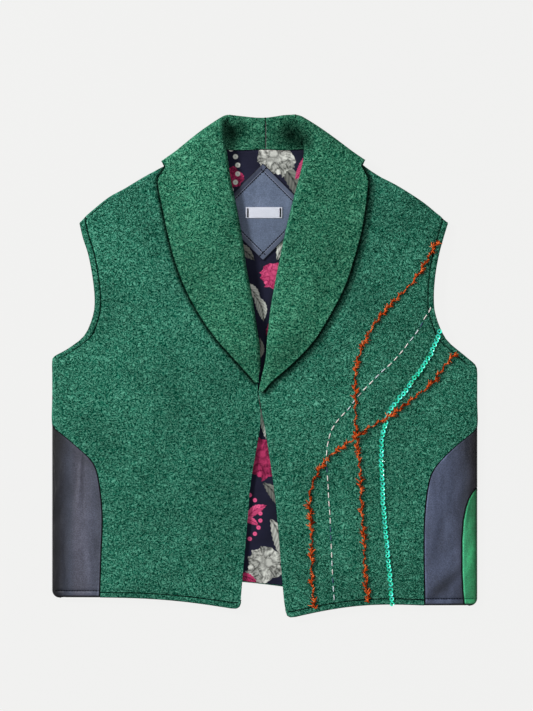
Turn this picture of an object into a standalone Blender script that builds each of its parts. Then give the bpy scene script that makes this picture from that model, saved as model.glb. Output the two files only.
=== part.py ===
"""A short sleeveless vest of felted wool with a shawl collar, laid flat on its back.

Lengths are in millimetres until a point goes into a mesh, which holds metres.
+X is the wearer's left, +Y runs from the hem to the collar, and +Z is up from the table.
Each piece is a wall of cloth, made from a grid of points along the middle of its thickness.
"""

import math
from collections import namedtuple

import bmesh
import bpy
from mathutils import Vector
from mathutils.bvhtree import BVHTree

MM = 0.001
ABOVE = 200.0
RIGHT, LEFT = -1, 1

# Thickness of each wall
WOOL = 3.0
LINING = 1.0
LEATHER = 2.0
COLLAR = 5.0
PATCH = 1.6
LABEL = 0.8

# Room left between pieces: at a seam, and between layers that lie on each other
SEAM_GAP = 0.3
LAYER_GAP = 0.5

# Middle height of each layer where the collar below doesn't lift it
BACK_MID = WOOL / 2
LINING_MID = WOOL + LAYER_GAP + LINING / 2
FRONT_MID = WOOL + LINING + 2 * LAYER_GAP + WOOL / 2
FRONT_TOP = FRONT_MID + WOOL / 2
STAND_MID = WOOL + LINING + PATCH + 3 * LAYER_GAP + COLLAR / 2
LEATHER_FRONT_MID = FRONT_TOP - 0.6 - LEATHER / 2
LEATHER_BACK_MID = LEATHER / 2

# Folds where front and back meet at the sides and shoulders
SIDE_X = 254.7
FOLD_MID = (BACK_MID + FRONT_MID) / 2
FOLD_END = 0.4
FOLD_GAP = 0.5
FOLD_RADIUS = (FRONT_MID - BACK_MID - FOLD_GAP) / 2 - FOLD_END
FOLD_STEPS = 2
CORNER = 8.0

# Stitched margins: places across the margin, and the relief of the cloth there
STITCH_IN = 7.5
MARGIN = (0.0, 3.5, STITCH_IN, 11.0)
MARGIN_RELIEF = (-0.4, 0.3, -0.6, 0.0)

# Grid steps
ROW_STEP = 30.0
LIFTED_ROW_STEP = 19.0
LIFTED_Y = 120.0
FRONT_PARTS = (0.0, 0.03, 0.2, 0.38, 0.56, 0.74, 0.88)
NECK_PARTS = (0.0, 0.12, 0.22, 0.28)
LEATHER_COLUMNS = 1
LEATHER_FOLD_STEPS = 2
TIP_PARTS = (0.45,)
COLLAR_STEP = 26.0
LEAF_PARTS = (1.0, 0.95, 0.8, 0.64, 0.48, 0.32, 0.16)
ROLL_STEPS = 5
STAND_PARTS = (0.5, 1.0)
PATCH_CELLS = 8

# Collar: the roll, its swell, and the fall that lies folded under the back
ROLL_RADIUS = 3.2
SWELL = 1.6
COLLAR_AXIS = LAYER_GAP + COLLAR + FOLD_MID
NECK_GAP = 1.1
TIP_SWEEP = 10.0
STUB = 1.2
NECK_START = 11
FALL_Y = 204.0
FALL_RISE = 28.0
FALL_HALF = 125.0
LIFT = COLLAR + LAYER_GAP
LIFT_EASE = 100.0

# Hem of the fronts: how far each bows up between its ends, and how tall the panel that follows it is
HEM_BOW = {RIGHT: 4.0, LEFT: 7.2}
HEM_BOW_TALL = 110.0

# Hem of the back, higher in the middle than the fronts
BACK_HEM_Y = -260.7
BACK_HEM_SLANT = -0.09
BACK_INSET = 2.0
LINING_INSET = 5.5
LINING_HEM_INSET = 1.2
LINING_SHOULDER_INSET = 7.0
LINING_NECK_HALF = 55.0
NECK_END = 68.0
LEATHER_SEAM_GAP = 0.8

# Soft body of the fronts
LOFT = 2.2
LOFT_EASE = 60.0

# Leather patch in the neck and the woven label on it
PATCH_SIDE = 82.0
PATCH_X, PATCH_Y = -2.1, 185.2
LABEL_LONG, LABEL_WIDE = 43.5, 13.0
LABEL_X, LABEL_Y = -0.9, 184.3

# Couched yarn
YARN_RADIUS = 1.5
YARN_SIDES = 5
YARN_STEP = 13.0
YARN_LIE = LAYER_GAP + YARN_RADIUS
YARN_HUMP = 2 * YARN_RADIUS + 1.5
TUFT_LONG = 3.2
TUFT_LEAN = 2.6
TUFT_RISE = 0.5
TUFT_TIP = 0.3
CROSSING = 22.0

FrontRow = namedtuple("FrontRow", "edge_x edge_y side_x side_y arch fold stitched")
Place = namedtuple("Place", "x y")
CollarRow = namedtuple("CollarRow", "roll_x roll_y outer_x outer_y angle roll under")
SoftFold = namedtuple("SoftFold", "x y degrees half_length half_width height")
SeamRow = namedtuple("SeamRow", "x y")

# Rows across each front, from the hem to the shoulder: where the row leaves the front edge or
# the neck seam, and where it ends at the leather seam, the side fold, the armhole or the shoulder.
FRONT_ROWS = {
    RIGHT: (
        FrontRow(29.7, -290.7, 197.0, -275.7, 0, 0, 0),
        FrontRow(27.8, -267.9, 196.1, -255.9, 0, 0, 0),
        FrontRow(24.9, -231.9, 194.9, -222.3, 0, 0, 0),
        FrontRow(20.6, -183.9, 193.5, -181.5, 0, 0, 0),
        FrontRow(17.2, -141.9, 196.5, -145.5, 0, 0, 0),
        FrontRow(11.7, -108.3, 203.7, -116.7, 0, 0, 0),
        FrontRow(6.8, -80.0, 224.1, -95.7, 0, 0, 0),
        FrontRow(4.9, -60.0, 249.6, -74.6, 0, 0, 0),
        FrontRow(4.9, -54.0, 254.7, -68.5, 0, 0.7, 0),
        FrontRow(8.3, -30.3, 254.7, -40.0, 0, 1, 0),
        FrontRow(8.7, -19.5, 254.7, -20.0, 0, 1, 0),
        FrontRow(15.5, -11.7, 254.7, -8.0, 0, 1, 0),
        FrontRow(16.5, 5.0, 254.4, 6.5, 0, 0.7, 0),
        FrontRow(18.0, 26.1, 251.5, 12.3, 0, 0, 1),
        FrontRow(23.5, 53.7, 236.1, 20.7, 0, 0, 1),
        FrontRow(29.5, 83.7, 215.7, 36.9, 0, 0, 1),
        FrontRow(36.0, 113.7, 205.1, 60.9, 0, 0, 1),
        FrontRow(41.5, 142.5, 203.1, 82.5, 0, 0, 1),
        FrontRow(47.5, 173.7, 206.1, 110.1, 0.2, 0, 1),
        FrontRow(52.5, 200.1, 211.1, 135.3, 0.45, 0, 1),
        FrontRow(58.5, 228.0, 217.4, 154.5, 0.75, 0, 1),
        FrontRow(74.0, 270.0, 221.7, 173.1, 1.0, 0, 1),
    ),
    LEFT: (
        FrontRow(26.7, -301.5, 190.6, -285.3, 0, 0, 0),
        FrontRow(23.1, -279.9, 190.4, -265.5, 0, 0, 0),
        FrontRow(19.1, -231.9, 189.7, -227.1, 0, 0, 0),
        FrontRow(15.2, -183.9, 190.3, -181.5, 0, 0, 0),
        FrontRow(10.6, -141.9, 194.7, -143.1, 0, 0, 0),
        FrontRow(4.9, -103.5, 202.5, -121.5, 0, 0, 0),
        FrontRow(0.5, -75.0, 222.3, -99.9, 0, 0, 0),
        FrontRow(-3.0, -57.0, 249.6, -77.3, 0, 0, 0),
        FrontRow(-3.8, -51.0, 254.7, -71.0, 0, 0.7, 0),
        FrontRow(-6.9, -34.0, 254.7, -44.0, 0, 1, 0),
        FrontRow(-6.7, -26.1, 254.7, -28.0, 0, 1, 0),
        FrontRow(6.1, -20.7, 254.7, -16.0, 0, 1, 0),
        FrontRow(11.0, 5.0, 254.2, -5.5, 0, 0.7, 0),
        FrontRow(14.0, 26.1, 251.5, 2.5, 0, 0, 1),
        FrontRow(18.5, 53.7, 237.5, 14.3, 0, 0, 1),
        FrontRow(24.0, 83.7, 216.3, 33.3, 0, 0, 1),
        FrontRow(30.0, 113.7, 204.3, 60.9, 0, 0, 1),
        FrontRow(36.5, 142.5, 201.9, 82.5, 0, 0, 1),
        FrontRow(44.0, 173.7, 203.8, 110.1, 0.2, 0, 1),
        FrontRow(51.0, 200.1, 208.4, 135.3, 0.45, 0, 1),
        FrontRow(57.5, 228.0, 213.7, 154.5, 0.75, 0, 1),
        FrontRow(70.0, 270.0, 219.4, 173.0, 1.0, 0, 1),
    ),
}

# Outline of each shoulder, from the neck to the armhole
SHOULDER = {
    RIGHT: (
        Place(74.0, 270.0), Place(90.0, 260.6), Place(104.3, 251.3), Place(117.4, 241.7),
        Place(131.2, 234.2), Place(149.7, 224.1), Place(167.7, 213.3), Place(185.7, 203.7),
        Place(203.7, 190.5), Place(214.0, 181.0), Place(221.7, 173.1),
    ),
    LEFT: (
        Place(70.0, 270.0), Place(87.0, 262.9), Place(101.5, 253.3), Place(114.6, 243.7),
        Place(126.0, 235.0), Place(138.3, 227.0), Place(156.3, 218.1), Place(174.3, 207.3),
        Place(192.3, 195.3), Place(210.3, 180.9), Place(219.4, 173.0),
    ),
}

# Back of the neck, from the middle to the right shoulder and to the left one
NECKLINE = {
    RIGHT: (Place(0, 260.0), Place(28, 259.0), Place(50, 260.0), Place(64, 264.0), Place(74, 270.0)),
    LEFT: (Place(0, 260.0), Place(28, 259.0), Place(50, 260.5), Place(61, 264.0), Place(70, 270.0)),
}

# Stations along each half of the collar, from the tip to the middle of the back: the roll, the
# outer edge, the angle through which the collar has turned over the shoulder, how full the roll
# is, and how far the cloth turns under at the roll.
COLLAR_ROWS = {
    RIGHT: (
        CollarRow(-7.7, -18.8, -12.2, -18.6, 0, 0.0, 0.0),
        CollarRow(-6.4, -11.1, -19.5, -9.9, 0, 0.0, 0.0),
        CollarRow(-3.3, 5.7, -35.7, 8.1, 0, 0.4, 0.3),
        CollarRow(-6.5, 29.7, -56.7, 31.5, 0, 1.0, 1.0),
        CollarRow(-10.7, 56.1, -74.9, 56.7, 0, 1.0, 1.0),
        CollarRow(-15.7, 88.5, -93.5, 89.7, 0, 1.0, 1.0),
        CollarRow(-21.8, 118.5, -105.3, 119.7, 0, 1.0, 1.0),
        CollarRow(-26.1, 149.7, -114.3, 152.1, 0, 1.0, 1.0),
        CollarRow(-33.5, 190.5, -122.9, 192.9, 0, 1.0, 1.0),
        CollarRow(-40.1, 221.7, -126.7, 213.0, 0, 1.0, 1.0),
        CollarRow(-44.3, 251.0, -127.2, 224.0, 0, 1.0, 1.0),
        CollarRow(-47.4, 271.0, -123.4, 230.5, 0, 1.0, 0.5),
        CollarRow(-48.0, 286.1, -118.4, 238.3, 0, 1.0, 0.45),
        CollarRow(-45.0, 288.4, -118.4, 238.3, 45, 1.0, 0.45),
        CollarRow(-39.4, 292.6, -118.4, 238.3, 90, 1.0, 0.45),
        CollarRow(-38.2, 297.6, -118.4, 238.3, 135, 1.0, 0.45),
        CollarRow(-41.5, 301.0, -118.4, 238.3, 180, 1.0, 0.5),
        CollarRow(-36.0, 300.7, -101.0, 227.5, 180, 1.0, 1.0),
        CollarRow(-24.0, 299.6, -70.0, 215.5, 180, 1.0, 1.0),
        CollarRow(-10.0, 298.4, -33.0, 208.5, 180, 1.0, 1.0),
        CollarRow(1.1, 298.3, 1.1, 206.0, 180, 1.0, 1.0),
    ),
    LEFT: (
        CollarRow(-6.4, -28.4, -1.8, -30.0, 0, 0.0, 0.0),
        CollarRow(-5.9, -17.5, 7.5, -18.7, 0, 0.0, 0.0),
        CollarRow(-1.9, 5.7, 33.9, 4.5, 0, 0.4, 0.3),
        CollarRow(2.6, 32.1, 58.7, 30.9, 0, 1.0, 1.0),
        CollarRow(5.9, 62.1, 78.3, 62.1, 0, 1.0, 1.0),
        CollarRow(11.1, 94.5, 95.1, 94.5, 0, 1.0, 1.0),
        CollarRow(17.7, 128.1, 106.5, 128.1, 0, 1.0, 1.0),
        CollarRow(24.7, 161.7, 115.5, 161.7, 0, 1.0, 1.0),
        CollarRow(33.3, 196.5, 120.9, 195.3, 0, 1.0, 1.0),
        CollarRow(40.5, 224.1, 122.7, 213.5, 0, 1.0, 1.0),
        CollarRow(46.5, 251.0, 123.0, 224.0, 0, 1.0, 1.0),
        CollarRow(45.4, 273.0, 119.5, 231.0, 0, 1.0, 0.5),
        CollarRow(39.5, 288.1, 115.1, 239.5, 0, 1.0, 0.45),
        CollarRow(37.0, 289.9, 115.1, 239.5, 45, 1.0, 0.45),
        CollarRow(33.3, 292.5, 115.1, 239.5, 90, 1.0, 0.45),
        CollarRow(32.2, 297.4, 115.1, 239.5, 135, 1.0, 0.45),
        CollarRow(35.6, 301.2, 115.1, 239.5, 180, 1.0, 0.5),
        CollarRow(30.5, 301.3, 97.0, 227.5, 180, 1.0, 1.0),
        CollarRow(22.0, 301.2, 66.0, 215.5, 180, 1.0, 1.0),
        CollarRow(11.0, 299.6, 31.0, 208.5, 180, 1.0, 1.0),
        CollarRow(1.5, 298.3, 1.5, 206.0, 180, 1.0, 1.0),
    ),
}

# Seam between the dark leather and the green leather at the left side, from the hem up
GREEN_SEAM = (
    SeamRow(237.9, -285.3), SeamRow(236.2, -267.9), SeamRow(235.1, -243.9), SeamRow(235.0, -207.9),
    SeamRow(236.7, -183.9), SeamRow(239.5, -169.5), SeamRow(243.0, -159.0), SeamRow(247.5, -151.0),
    SeamRow(250.2, -147.0),
)
GREEN_TOP = -146.0
GREEN_TOP_GAP = 2.5
FOLD_RUN = 2.6

# Broad soft folds in the fronts
SOFT_FOLDS = (
    SoftFold(-165, -30, 38, 95, 26, 1.3), SoftFold(-100, -165, 82, 120, 30, 1.0),
    SoftFold(-45, -120, 100, 90, 24, -0.7), SoftFold(-190, 60, 65, 70, 24, 0.8),
    SoftFold(160, -25, -36, 90, 26, 1.2), SoftFold(90, -205, 97, 110, 30, 0.9),
    SoftFold(150, -150, 70, 90, 28, -0.7), SoftFold(185, 70, -62, 70, 24, 0.8),
)

# Couched yarn: the line that runs down from the armhole, and the one that crosses over it
YARN_LINES = {
    "couched_yarn_upper": (
        Place(206.0, 150.0), Place(192.9, 125.6), Place(175.7, 99.8), Place(158.6, 82.6),
        Place(137.2, 59.1), Place(121.1, 33.4), Place(109.4, 1.4), Place(108.4, -36.5),
        Place(109.4, -84.1), Place(114.2, -126.7), Place(115.4, -162.3), Place(118.9, -212.1),
        Place(119.5, -240.7), Place(124.5, -281.5),
    ),
    "couched_yarn_lower": (
        Place(228.0, 16.5), Place(213.8, -1.0), Place(199.5, -20.0), Place(175.9, -38.9),
        Place(149.7, -59.1), Place(123.7, -73.4), Place(109.4, -84.1), Place(78.5, -106.5),
        Place(59.6, -133.9), Place(53.7, -159.9), Place(56.0, -200.2), Place(56.0, -228.8),
        Place(57.2, -264.3), Place(60.3, -289.0),
    ),
}
YARN_CROSS = Place(109.4, -84.1)

# The middle of the outline, which the origin stands under
MIDDLE = Vector((0.0, 0.85, 0.0))


def clear_scene():
    for item in list(bpy.data.objects):
        bpy.data.objects.remove(item, do_unlink=True)


def material(name, colour, roughness, metallic=0.0):
    made = bpy.data.materials.new(name)
    made.use_nodes = True
    shader = made.node_tree.nodes["Principled BSDF"]
    shader.inputs["Base Color"].default_value = (*colour, 1.0)
    shader.inputs["Roughness"].default_value = roughness
    shader.inputs["Metallic"].default_value = metallic
    return made


# Curves and easing


def mix(start, end, part):
    return start + (end - start) * part


def ease(part):
    part = min(1.0, max(0.0, part))
    return part * part * (3.0 - 2.0 * part)


def curve_value(before, start, end, after, part):
    """One value of the smooth curve that passes through start and end."""
    square, cube = part * part, part * part * part
    return 0.5 * (
        2 * start
        + (end - before) * part
        + (2 * before - 5 * start + 4 * end - after) * square
        + (3 * start - before - 3 * end + after) * cube
    )


def curve_at(rows, place):
    """The row of values at a place counted in rows, on the smooth curve through a table."""
    last = len(rows) - 1
    index = min(int(place), last - 1)
    picked = [rows[max(0, min(last, index + shift))] for shift in (-1, 0, 1, 2)]
    part = place - index
    return [curve_value(*values, part) for values in zip(*picked)]


def line_at(table, x):
    """Height, at a distance across, of the smooth curve through a table."""
    x = min(max(x, table[0].x), table[-1].x)
    for index, (start, end) in enumerate(zip(table, table[1:])):
        if x <= end.x:
            part = (x - start.x) / (end.x - start.x)
            return curve_at(table, index + part)[1]
    return table[-1].y


def outline_of(places, step):
    """Places about one step apart on the smooth curve through a table."""
    made = [places[0]]
    for index, (start, end) in enumerate(zip(places, places[1:])):
        count = max(1, round(math.hypot(end.x - start.x, end.y - start.y) / step))
        made += [Place(*curve_at(places, index + part / count)) for part in range(1, count + 1)]
    return made


# Heights of the layers


def lift(x, y):
    """How far the collar's fall, folded beneath, raises the cloth that lies on it."""
    full = FALL_Y + FALL_RISE * ((x + 2.0) / FALL_HALF) ** 2
    return LIFT * ease((y - full + LIFT_EASE) / LIFT_EASE)


def loft(x, y):
    """How far the soft fronts stand above the lining, with their broad folds."""
    side = ease((SIDE_X - abs(x)) / LOFT_EASE)
    shoulder_y = 270.0 - 0.64 * max(0.0, abs(x) - 72.0)
    shoulder = ease((shoulder_y - y) / LOFT_EASE)
    hem = mix(0.35, 1.0, ease((y + 288.0) / LOFT_EASE))
    edge = mix(0.2, 1.0, ease((abs(x) - 8.0) / LOFT_EASE))
    folds = 0.0
    for fold in SOFT_FOLDS:
        turn = math.radians(fold.degrees)
        along = (x - fold.x) * math.cos(turn) + (y - fold.y) * math.sin(turn)
        across = (y - fold.y) * math.cos(turn) - (x - fold.x) * math.sin(turn)
        shape = (along / fold.half_length) ** 2 + (across / fold.half_width) ** 2
        folds += fold.height * math.exp(-shape)
    return max(0.0, LOFT * hem * edge + folds) * side * shoulder


def front_top(x, y):
    return FRONT_TOP + lift(x, y) + loft(x, y)


# Rows of a front, shared by the back, the lining and the leather


def row_places():
    """Places, counted in table rows, of every row across the panels."""
    places = [0.0, 0.15, 0.33, 0.5]
    tables = [FRONT_ROWS[RIGHT], FRONT_ROWS[LEFT]]
    for index in range(len(tables[0]) - 1):
        longest = 0.0
        for table in tables:
            start, end = table[index], table[index + 1]
            longest = max(
                longest,
                math.hypot(end.edge_x - start.edge_x, end.edge_y - start.edge_y),
                math.hypot(end.side_x - start.side_x, end.side_y - start.side_y),
            )
        step = LIFTED_ROW_STEP if tables[0][index].edge_y > LIFTED_Y else ROW_STEP
        count = max(1, round(longest / step))
        places += [index + part / count for part in range(1, count + 1)]
    return sorted(set(places))


def front_row(side, place):
    """A FrontRow between the rows of the table, with its flags taken in a straight line."""
    table = FRONT_ROWS[side]
    smooth = FrontRow(*curve_at(table, place))
    index = min(int(place), len(table) - 2)
    part = place - index
    flags = {
        name: mix(getattr(table[index], name), getattr(table[index + 1], name), part)
        for name in ("arch", "fold", "stitched")
    }
    return smooth._replace(**flags)


def fold_outline(fold, radius, steps):
    """Steps round the quarter fold at a row's end: outward, and towards the other layer.

    The last step runs straight on, so that the edges of the two layers meet square.
    """
    made = []
    for count in range(1, steps + 1):
        part = count / steps
        turn = part * math.pi / 2
        made.append((radius * mix(part, math.sin(turn), fold), radius * (1 - math.cos(turn)) * fold))
    made.append((radius + FOLD_END * (1 - fold), (radius + FOLD_END) * fold))
    return made


def fold_reach(fold, radius, wall):
    """Distance from the visible edge of a row in to where its fold begins."""
    return radius + FOLD_END * (1 - fold) + fold * wall / 2


def even(start, end, count):
    """Distances between two others, without them."""
    return [mix(start, end, part / (count + 1)) for part in range(1, count + 1)]


def margin_relief(distance):
    """Height of a stitched margin at a distance from its edge."""
    for index in range(len(MARGIN) - 1):
        if distance < MARGIN[index + 1]:
            part = (distance - MARGIN[index]) / (MARGIN[index + 1] - MARGIN[index])
            return mix(MARGIN_RELIEF[index], MARGIN_RELIEF[index + 1], part)
    return 0.0


def corner_rise(distance, height):
    """Rounds the lower corner of a front: how far the hem rises near the front edge."""
    if distance >= CORNER or height >= 2 * CORNER:
        return 0.0
    reach = CORNER - distance
    return (CORNER - math.sqrt(CORNER**2 - reach**2)) * (1 - height / (2 * CORNER))


def fold_over(rows, weights):
    """Turns the last row of flat places into the rows of a fold over the shoulder.

    A weight of 1 folds a place over, and 0 leaves it flat. Places are (x, y, drop).
    """
    outline = rows.pop()
    last = len(outline) - 1
    folded = [[] for _ in range(FOLD_STEPS + 2)]
    for index, (x, y, drop) in enumerate(outline):
        before, after = outline[max(0, index - 1)], outline[min(last, index + 1)]
        run = Vector((after[0] - before[0], after[1] - before[1])).normalized()
        normal = Vector((-run.y, run.x)) if run.x > 0 else Vector((run.y, -run.x))
        weight = weights[index]
        base = Vector((x, y)) - normal * fold_reach(weight, FOLD_RADIUS, WOOL)
        folded[0].append((base.x, base.y, drop))
        steps = fold_outline(weight, FOLD_RADIUS, FOLD_STEPS)
        for row, (outward, towards) in zip(folded[1:], steps):
            place = base + normal * outward
            row.append((place.x, place.y, drop + towards))
    return rows + folded


def arch(side, row, part):
    """How far a row bows up from its straight line, to follow the hem and the shoulder's outline."""
    height = row.edge_y - FRONT_ROWS[side][0].edge_y
    hem = HEM_BOW[side] * math.sin(math.pi * part) * ease(1 - height / HEM_BOW_TALL)
    table = SHOULDER[side]
    x = mix(table[0].x, table[-1].x, part)
    return hem + row.arch * (line_at(table, x) - mix(table[0].y, table[-1].y, part))


def front_points(side):
    """Middle points of one front."""
    rows, reliefs = [], []
    hem = front_row(side, 0)
    for place in row_places():
        row = front_row(side, place)
        start, end = Vector((row.edge_x, row.edge_y)), Vector((row.side_x, row.side_y))
        length = (end - start).length
        run = (end - start) / length
        base = length - fold_reach(row.fold, FOLD_RADIUS, WOOL)
        distances = [part * length for part in FRONT_PARTS]
        distances += [length - MARGIN[3], length - MARGIN[2], base]
        height = row.edge_y - hem.edge_y
        flat = []
        for distance in distances:
            spot = start + run * distance
            rise = corner_rise(distance, height) + arch(side, row, distance / length)
            flat.append((side * spot.x, spot.y + rise, 0.0))
        for outward, towards in fold_outline(row.fold, FOLD_RADIUS, FOLD_STEPS):
            spot = start + run * (base + outward)
            flat.append((side * spot.x, spot.y + arch(side, row, (base + outward) / length), towards))
            distances.append(base + outward)
        relief = [
            row.stitched * margin_relief(length - distance) + margin_relief(max(0.0, height))
            for distance in distances
        ]
        rows.append(flat)
        reliefs.append(relief)
    rows = fold_over(rows, [1.0] * len(rows[-1]))
    reliefs += [[0.0] * len(rows[0])] * (FOLD_STEPS + 1)
    return [
        [
            (x, y, FRONT_MID + lift(x, y) + loft(x, y) + rise - drop)
            for (x, y, drop), rise in zip(row, relief)
        ]
        for row, relief in zip(rows, reliefs)
    ]


def back_parts():
    """Parts of a row of the back, with the places of the fronts' columns at the shoulders."""
    neck = SHOULDER[LEFT][0].x / SHOULDER[LEFT][-1].x
    half = list(NECK_PARTS) + [mix(neck, 1.0, part) for part in FRONT_PARTS if part != FRONT_PARTS[1]]
    return [-part for part in reversed(half[1:])] + half


def top_outline(x):
    """The back's upper outline: its shoulders and neckline."""
    side = LEFT if x > 0 else RIGHT
    distance = abs(x)
    if distance >= SHOULDER[side][0].x:
        return line_at(SHOULDER[side], distance)
    return line_at(NECKLINE[side], distance)


def back_row(place, ends_of):
    """The ends of one row across the back, and how it bows between them."""
    ends, rows = {}, {}
    for side in (RIGHT, LEFT):
        row = front_row(side, place)
        rows[side] = row
        x, y = ends_of(row)
        ends[side] = Vector((side * x, y))
    middle = (rows[RIGHT].edge_y + rows[LEFT].edge_y) / 2
    low = (FRONT_ROWS[RIGHT][0].edge_y + FRONT_ROWS[LEFT][0].edge_y) / 2
    high = FRONT_ROWS[LEFT][-1].edge_y
    reach = (middle - low) / (high - low)
    centre = mix(BACK_HEM_Y, NECKLINE[LEFT][0].y, reach)
    return ends, rows, centre, reach


def back_line(ends, rows, centre, reach):
    """A function that gives the place at a part, -1 to 1, of a row across the back."""
    top_ends = {side: SHOULDER[side][-1] for side in (RIGHT, LEFT)}
    top_middle = (top_ends[RIGHT].y + top_ends[LEFT].y) / 2
    top_centre = NECKLINE[LEFT][0].y

    def spot(part):
        share = (part + 1) / 2
        x = mix(ends[RIGHT].x, ends[LEFT].x, share)
        straight = mix(ends[RIGHT].y, ends[LEFT].y, share)
        bow = 1 - part * part
        top_x = mix(-top_ends[RIGHT].x, top_ends[LEFT].x, share)
        top_straight = mix(top_ends[RIGHT].y, top_ends[LEFT].y, share)
        top_bow = (top_outline(top_x) - top_straight) / (top_centre - top_middle)
        slant = BACK_HEM_SLANT * x * bow * (1 - ease(3 * reach))
        rise = (centre - (ends[RIGHT].y + ends[LEFT].y) / 2) * mix(bow, top_bow, rows[LEFT].arch)
        return Vector((x, straight + rise + slant))

    return spot


def wool_ends(row):
    return row.side_x - BACK_INSET * row.stitched, row.side_y


def lining_ends(row):
    """The lining runs on under the leather, to just inside the fold."""
    if row.side_y < FRONT_ROWS[LEFT][8].side_y and row.stitched == 0:
        corner = CORNER * max(0.0, 1 - (row.side_y - FRONT_ROWS[RIGHT][0].side_y) / (2 * CORNER))
        return SIDE_X - LINING_INSET - min(CORNER, corner), row.side_y
    return row.side_x - LINING_INSET - BACK_INSET * row.stitched, row.side_y


def back_points():
    """Middle points of the back."""
    flat_rows = []
    parts = back_parts()
    for place in row_places():
        ends, rows, centre, reach = back_row(place, wool_ends)
        spot = back_line(ends, rows, centre, reach)
        half = (ends[LEFT].x - ends[RIGHT].x) / 2
        flat = [(*spot(part), 0.0) for part in parts]
        for side, add in ((RIGHT, lambda item: flat.insert(0, item)), (LEFT, flat.append)):
            fold = rows[side].fold
            base = half - fold_reach(fold, FOLD_RADIUS, WOOL)
            add((*spot(side * base / half), 0.0))
            for outward, towards in fold_outline(fold, FOLD_RADIUS, FOLD_STEPS):
                add((*spot(side * (base + outward) / half), towards))
        flat_rows.append(flat)
    weights = [float(abs(x) > NECK_END) for x, _, _ in flat_rows[-1]]
    return [
        [(x, y, BACK_MID + lift(x, y) + towards) for x, y, towards in row]
        for row in fold_over(flat_rows, weights)
    ]


def lining_points():
    """Middle points of the lining of the back."""
    made = []
    places = row_places()
    for place in places:
        ends, rows, centre, reach = back_row(place, lining_ends)
        spot = back_line(ends, rows, centre, reach)
        line = []
        for part in (-1.0, *back_parts(), 1.0):
            x, y = spot(part)
            top_inset = LINING_SHOULDER_INSET if abs(x) > LINING_NECK_HALF else SEAM_GAP
            y += LINING_HEM_INSET * max(0.0, 1 - place) - top_inset * max(0.0, place - places[-1] + 1)
            line.append((x, y, LINING_MID + lift(x, y)))
        made.append(line)
    return made


# Leather at the sides


def seam_stations(side):
    """The leather seam of one side, from the hem up to its point at the side fold."""
    last = next(i for i, row in enumerate(FRONT_ROWS[side]) if row.fold)
    rows = [front_row(side, place) for place in row_places() if place <= last]
    return [SeamRow(row.side_x, row.side_y) for row in rows]


def seam_x(stations, y):
    for start, end in zip(stations, stations[1:]):
        if y <= end.y:
            return mix(start.x, end.x, max(0.0, (y - start.y) / (end.y - start.y)))
    return stations[-1].x


def side_x(hem_y, y):
    """The side's outline, with its lower corner rounded."""
    reach = CORNER - (y - hem_y)
    if reach <= 0:
        return SIDE_X
    return SIDE_X - CORNER + math.sqrt(max(0.0, CORNER**2 - reach**2))


def leather_rows(side, extra=()):
    """Heights of the rows of the leather, the seam's stations there, and the height of the hem."""
    stations = seam_stations(side)
    hem_y = stations[0].y
    rows = {round(station.y, 3) for station in stations[:-1]} | {hem_y + 2.5, hem_y + CORNER}
    rows |= set(extra)
    rows |= {mix(stations[-2].y, stations[-1].y, part) for part in TIP_PARTS}
    return sorted(rows), stations, hem_y


def past_seam(row, side, start):
    """A row of the leather with what lies inside the seam cut away, in as many points."""
    inside = [side * x < start for x, _, _ in row]
    first, last = inside.index(False), len(row) - inside[::-1].index(False)
    kept = [Vector(point) for point in row[first:last]]
    for index, beside, place in ((first - 1, first, 0), (last, last - 1, len(kept) + 1)):
        if 0 <= index < len(row):
            out, held = Vector(row[index]), Vector(row[beside])
            kept.insert(place, out.lerp(held, (side * start - out.x) / (held.x - out.x)))
    ways = [0.0]
    for before, after in zip(kept, kept[1:]):
        ways.append(ways[-1] + (after - before).length)
    made = []
    for count in range(len(row)):
        way = ways[-1] * count / (len(row) - 1)
        index = next(i for i in range(len(kept) - 1) if way <= ways[i + 1] + 1e-6)
        made.append(kept[index].lerp(kept[index + 1], (way - ways[index]) / (ways[index + 1] - ways[index])))
    return [tuple(point) for point in made]


def leather_front_mid(x, y):
    return LEATHER_FRONT_MID + loft(x, y)


def wrapped_points(side, rows, inner, hem_y):
    """Middle points of leather that runs from a front seam, round the side, to a back seam."""
    middle = (LEATHER_FRONT_MID + LEATHER_BACK_MID) / 2
    radius = (LEATHER_FRONT_MID - LEATHER_BACK_MID) / 2
    made = []
    for y in rows:
        seam = inner(y) + LEATHER_SEAM_GAP
        base = side_x(hem_y, y) - radius - LEATHER / 2
        start = min(seam, base - LEATHER)
        flat = [start, *even(start, base, LEATHER_COLUMNS)]
        row = [(side * x, y, leather_front_mid(x, y)) for x in flat]
        for count in range(2 * LEATHER_FOLD_STEPS + 1):
            turn = math.pi * count / (2 * LEATHER_FOLD_STEPS)
            row.append((side * (base + radius * math.sin(turn)), y, middle + radius * math.cos(turn)))
        row += [(side * x, y, LEATHER_BACK_MID) for x in reversed(flat)]
        made.append(past_seam(row, side, seam) if seam > start else row)
    return made


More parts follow.
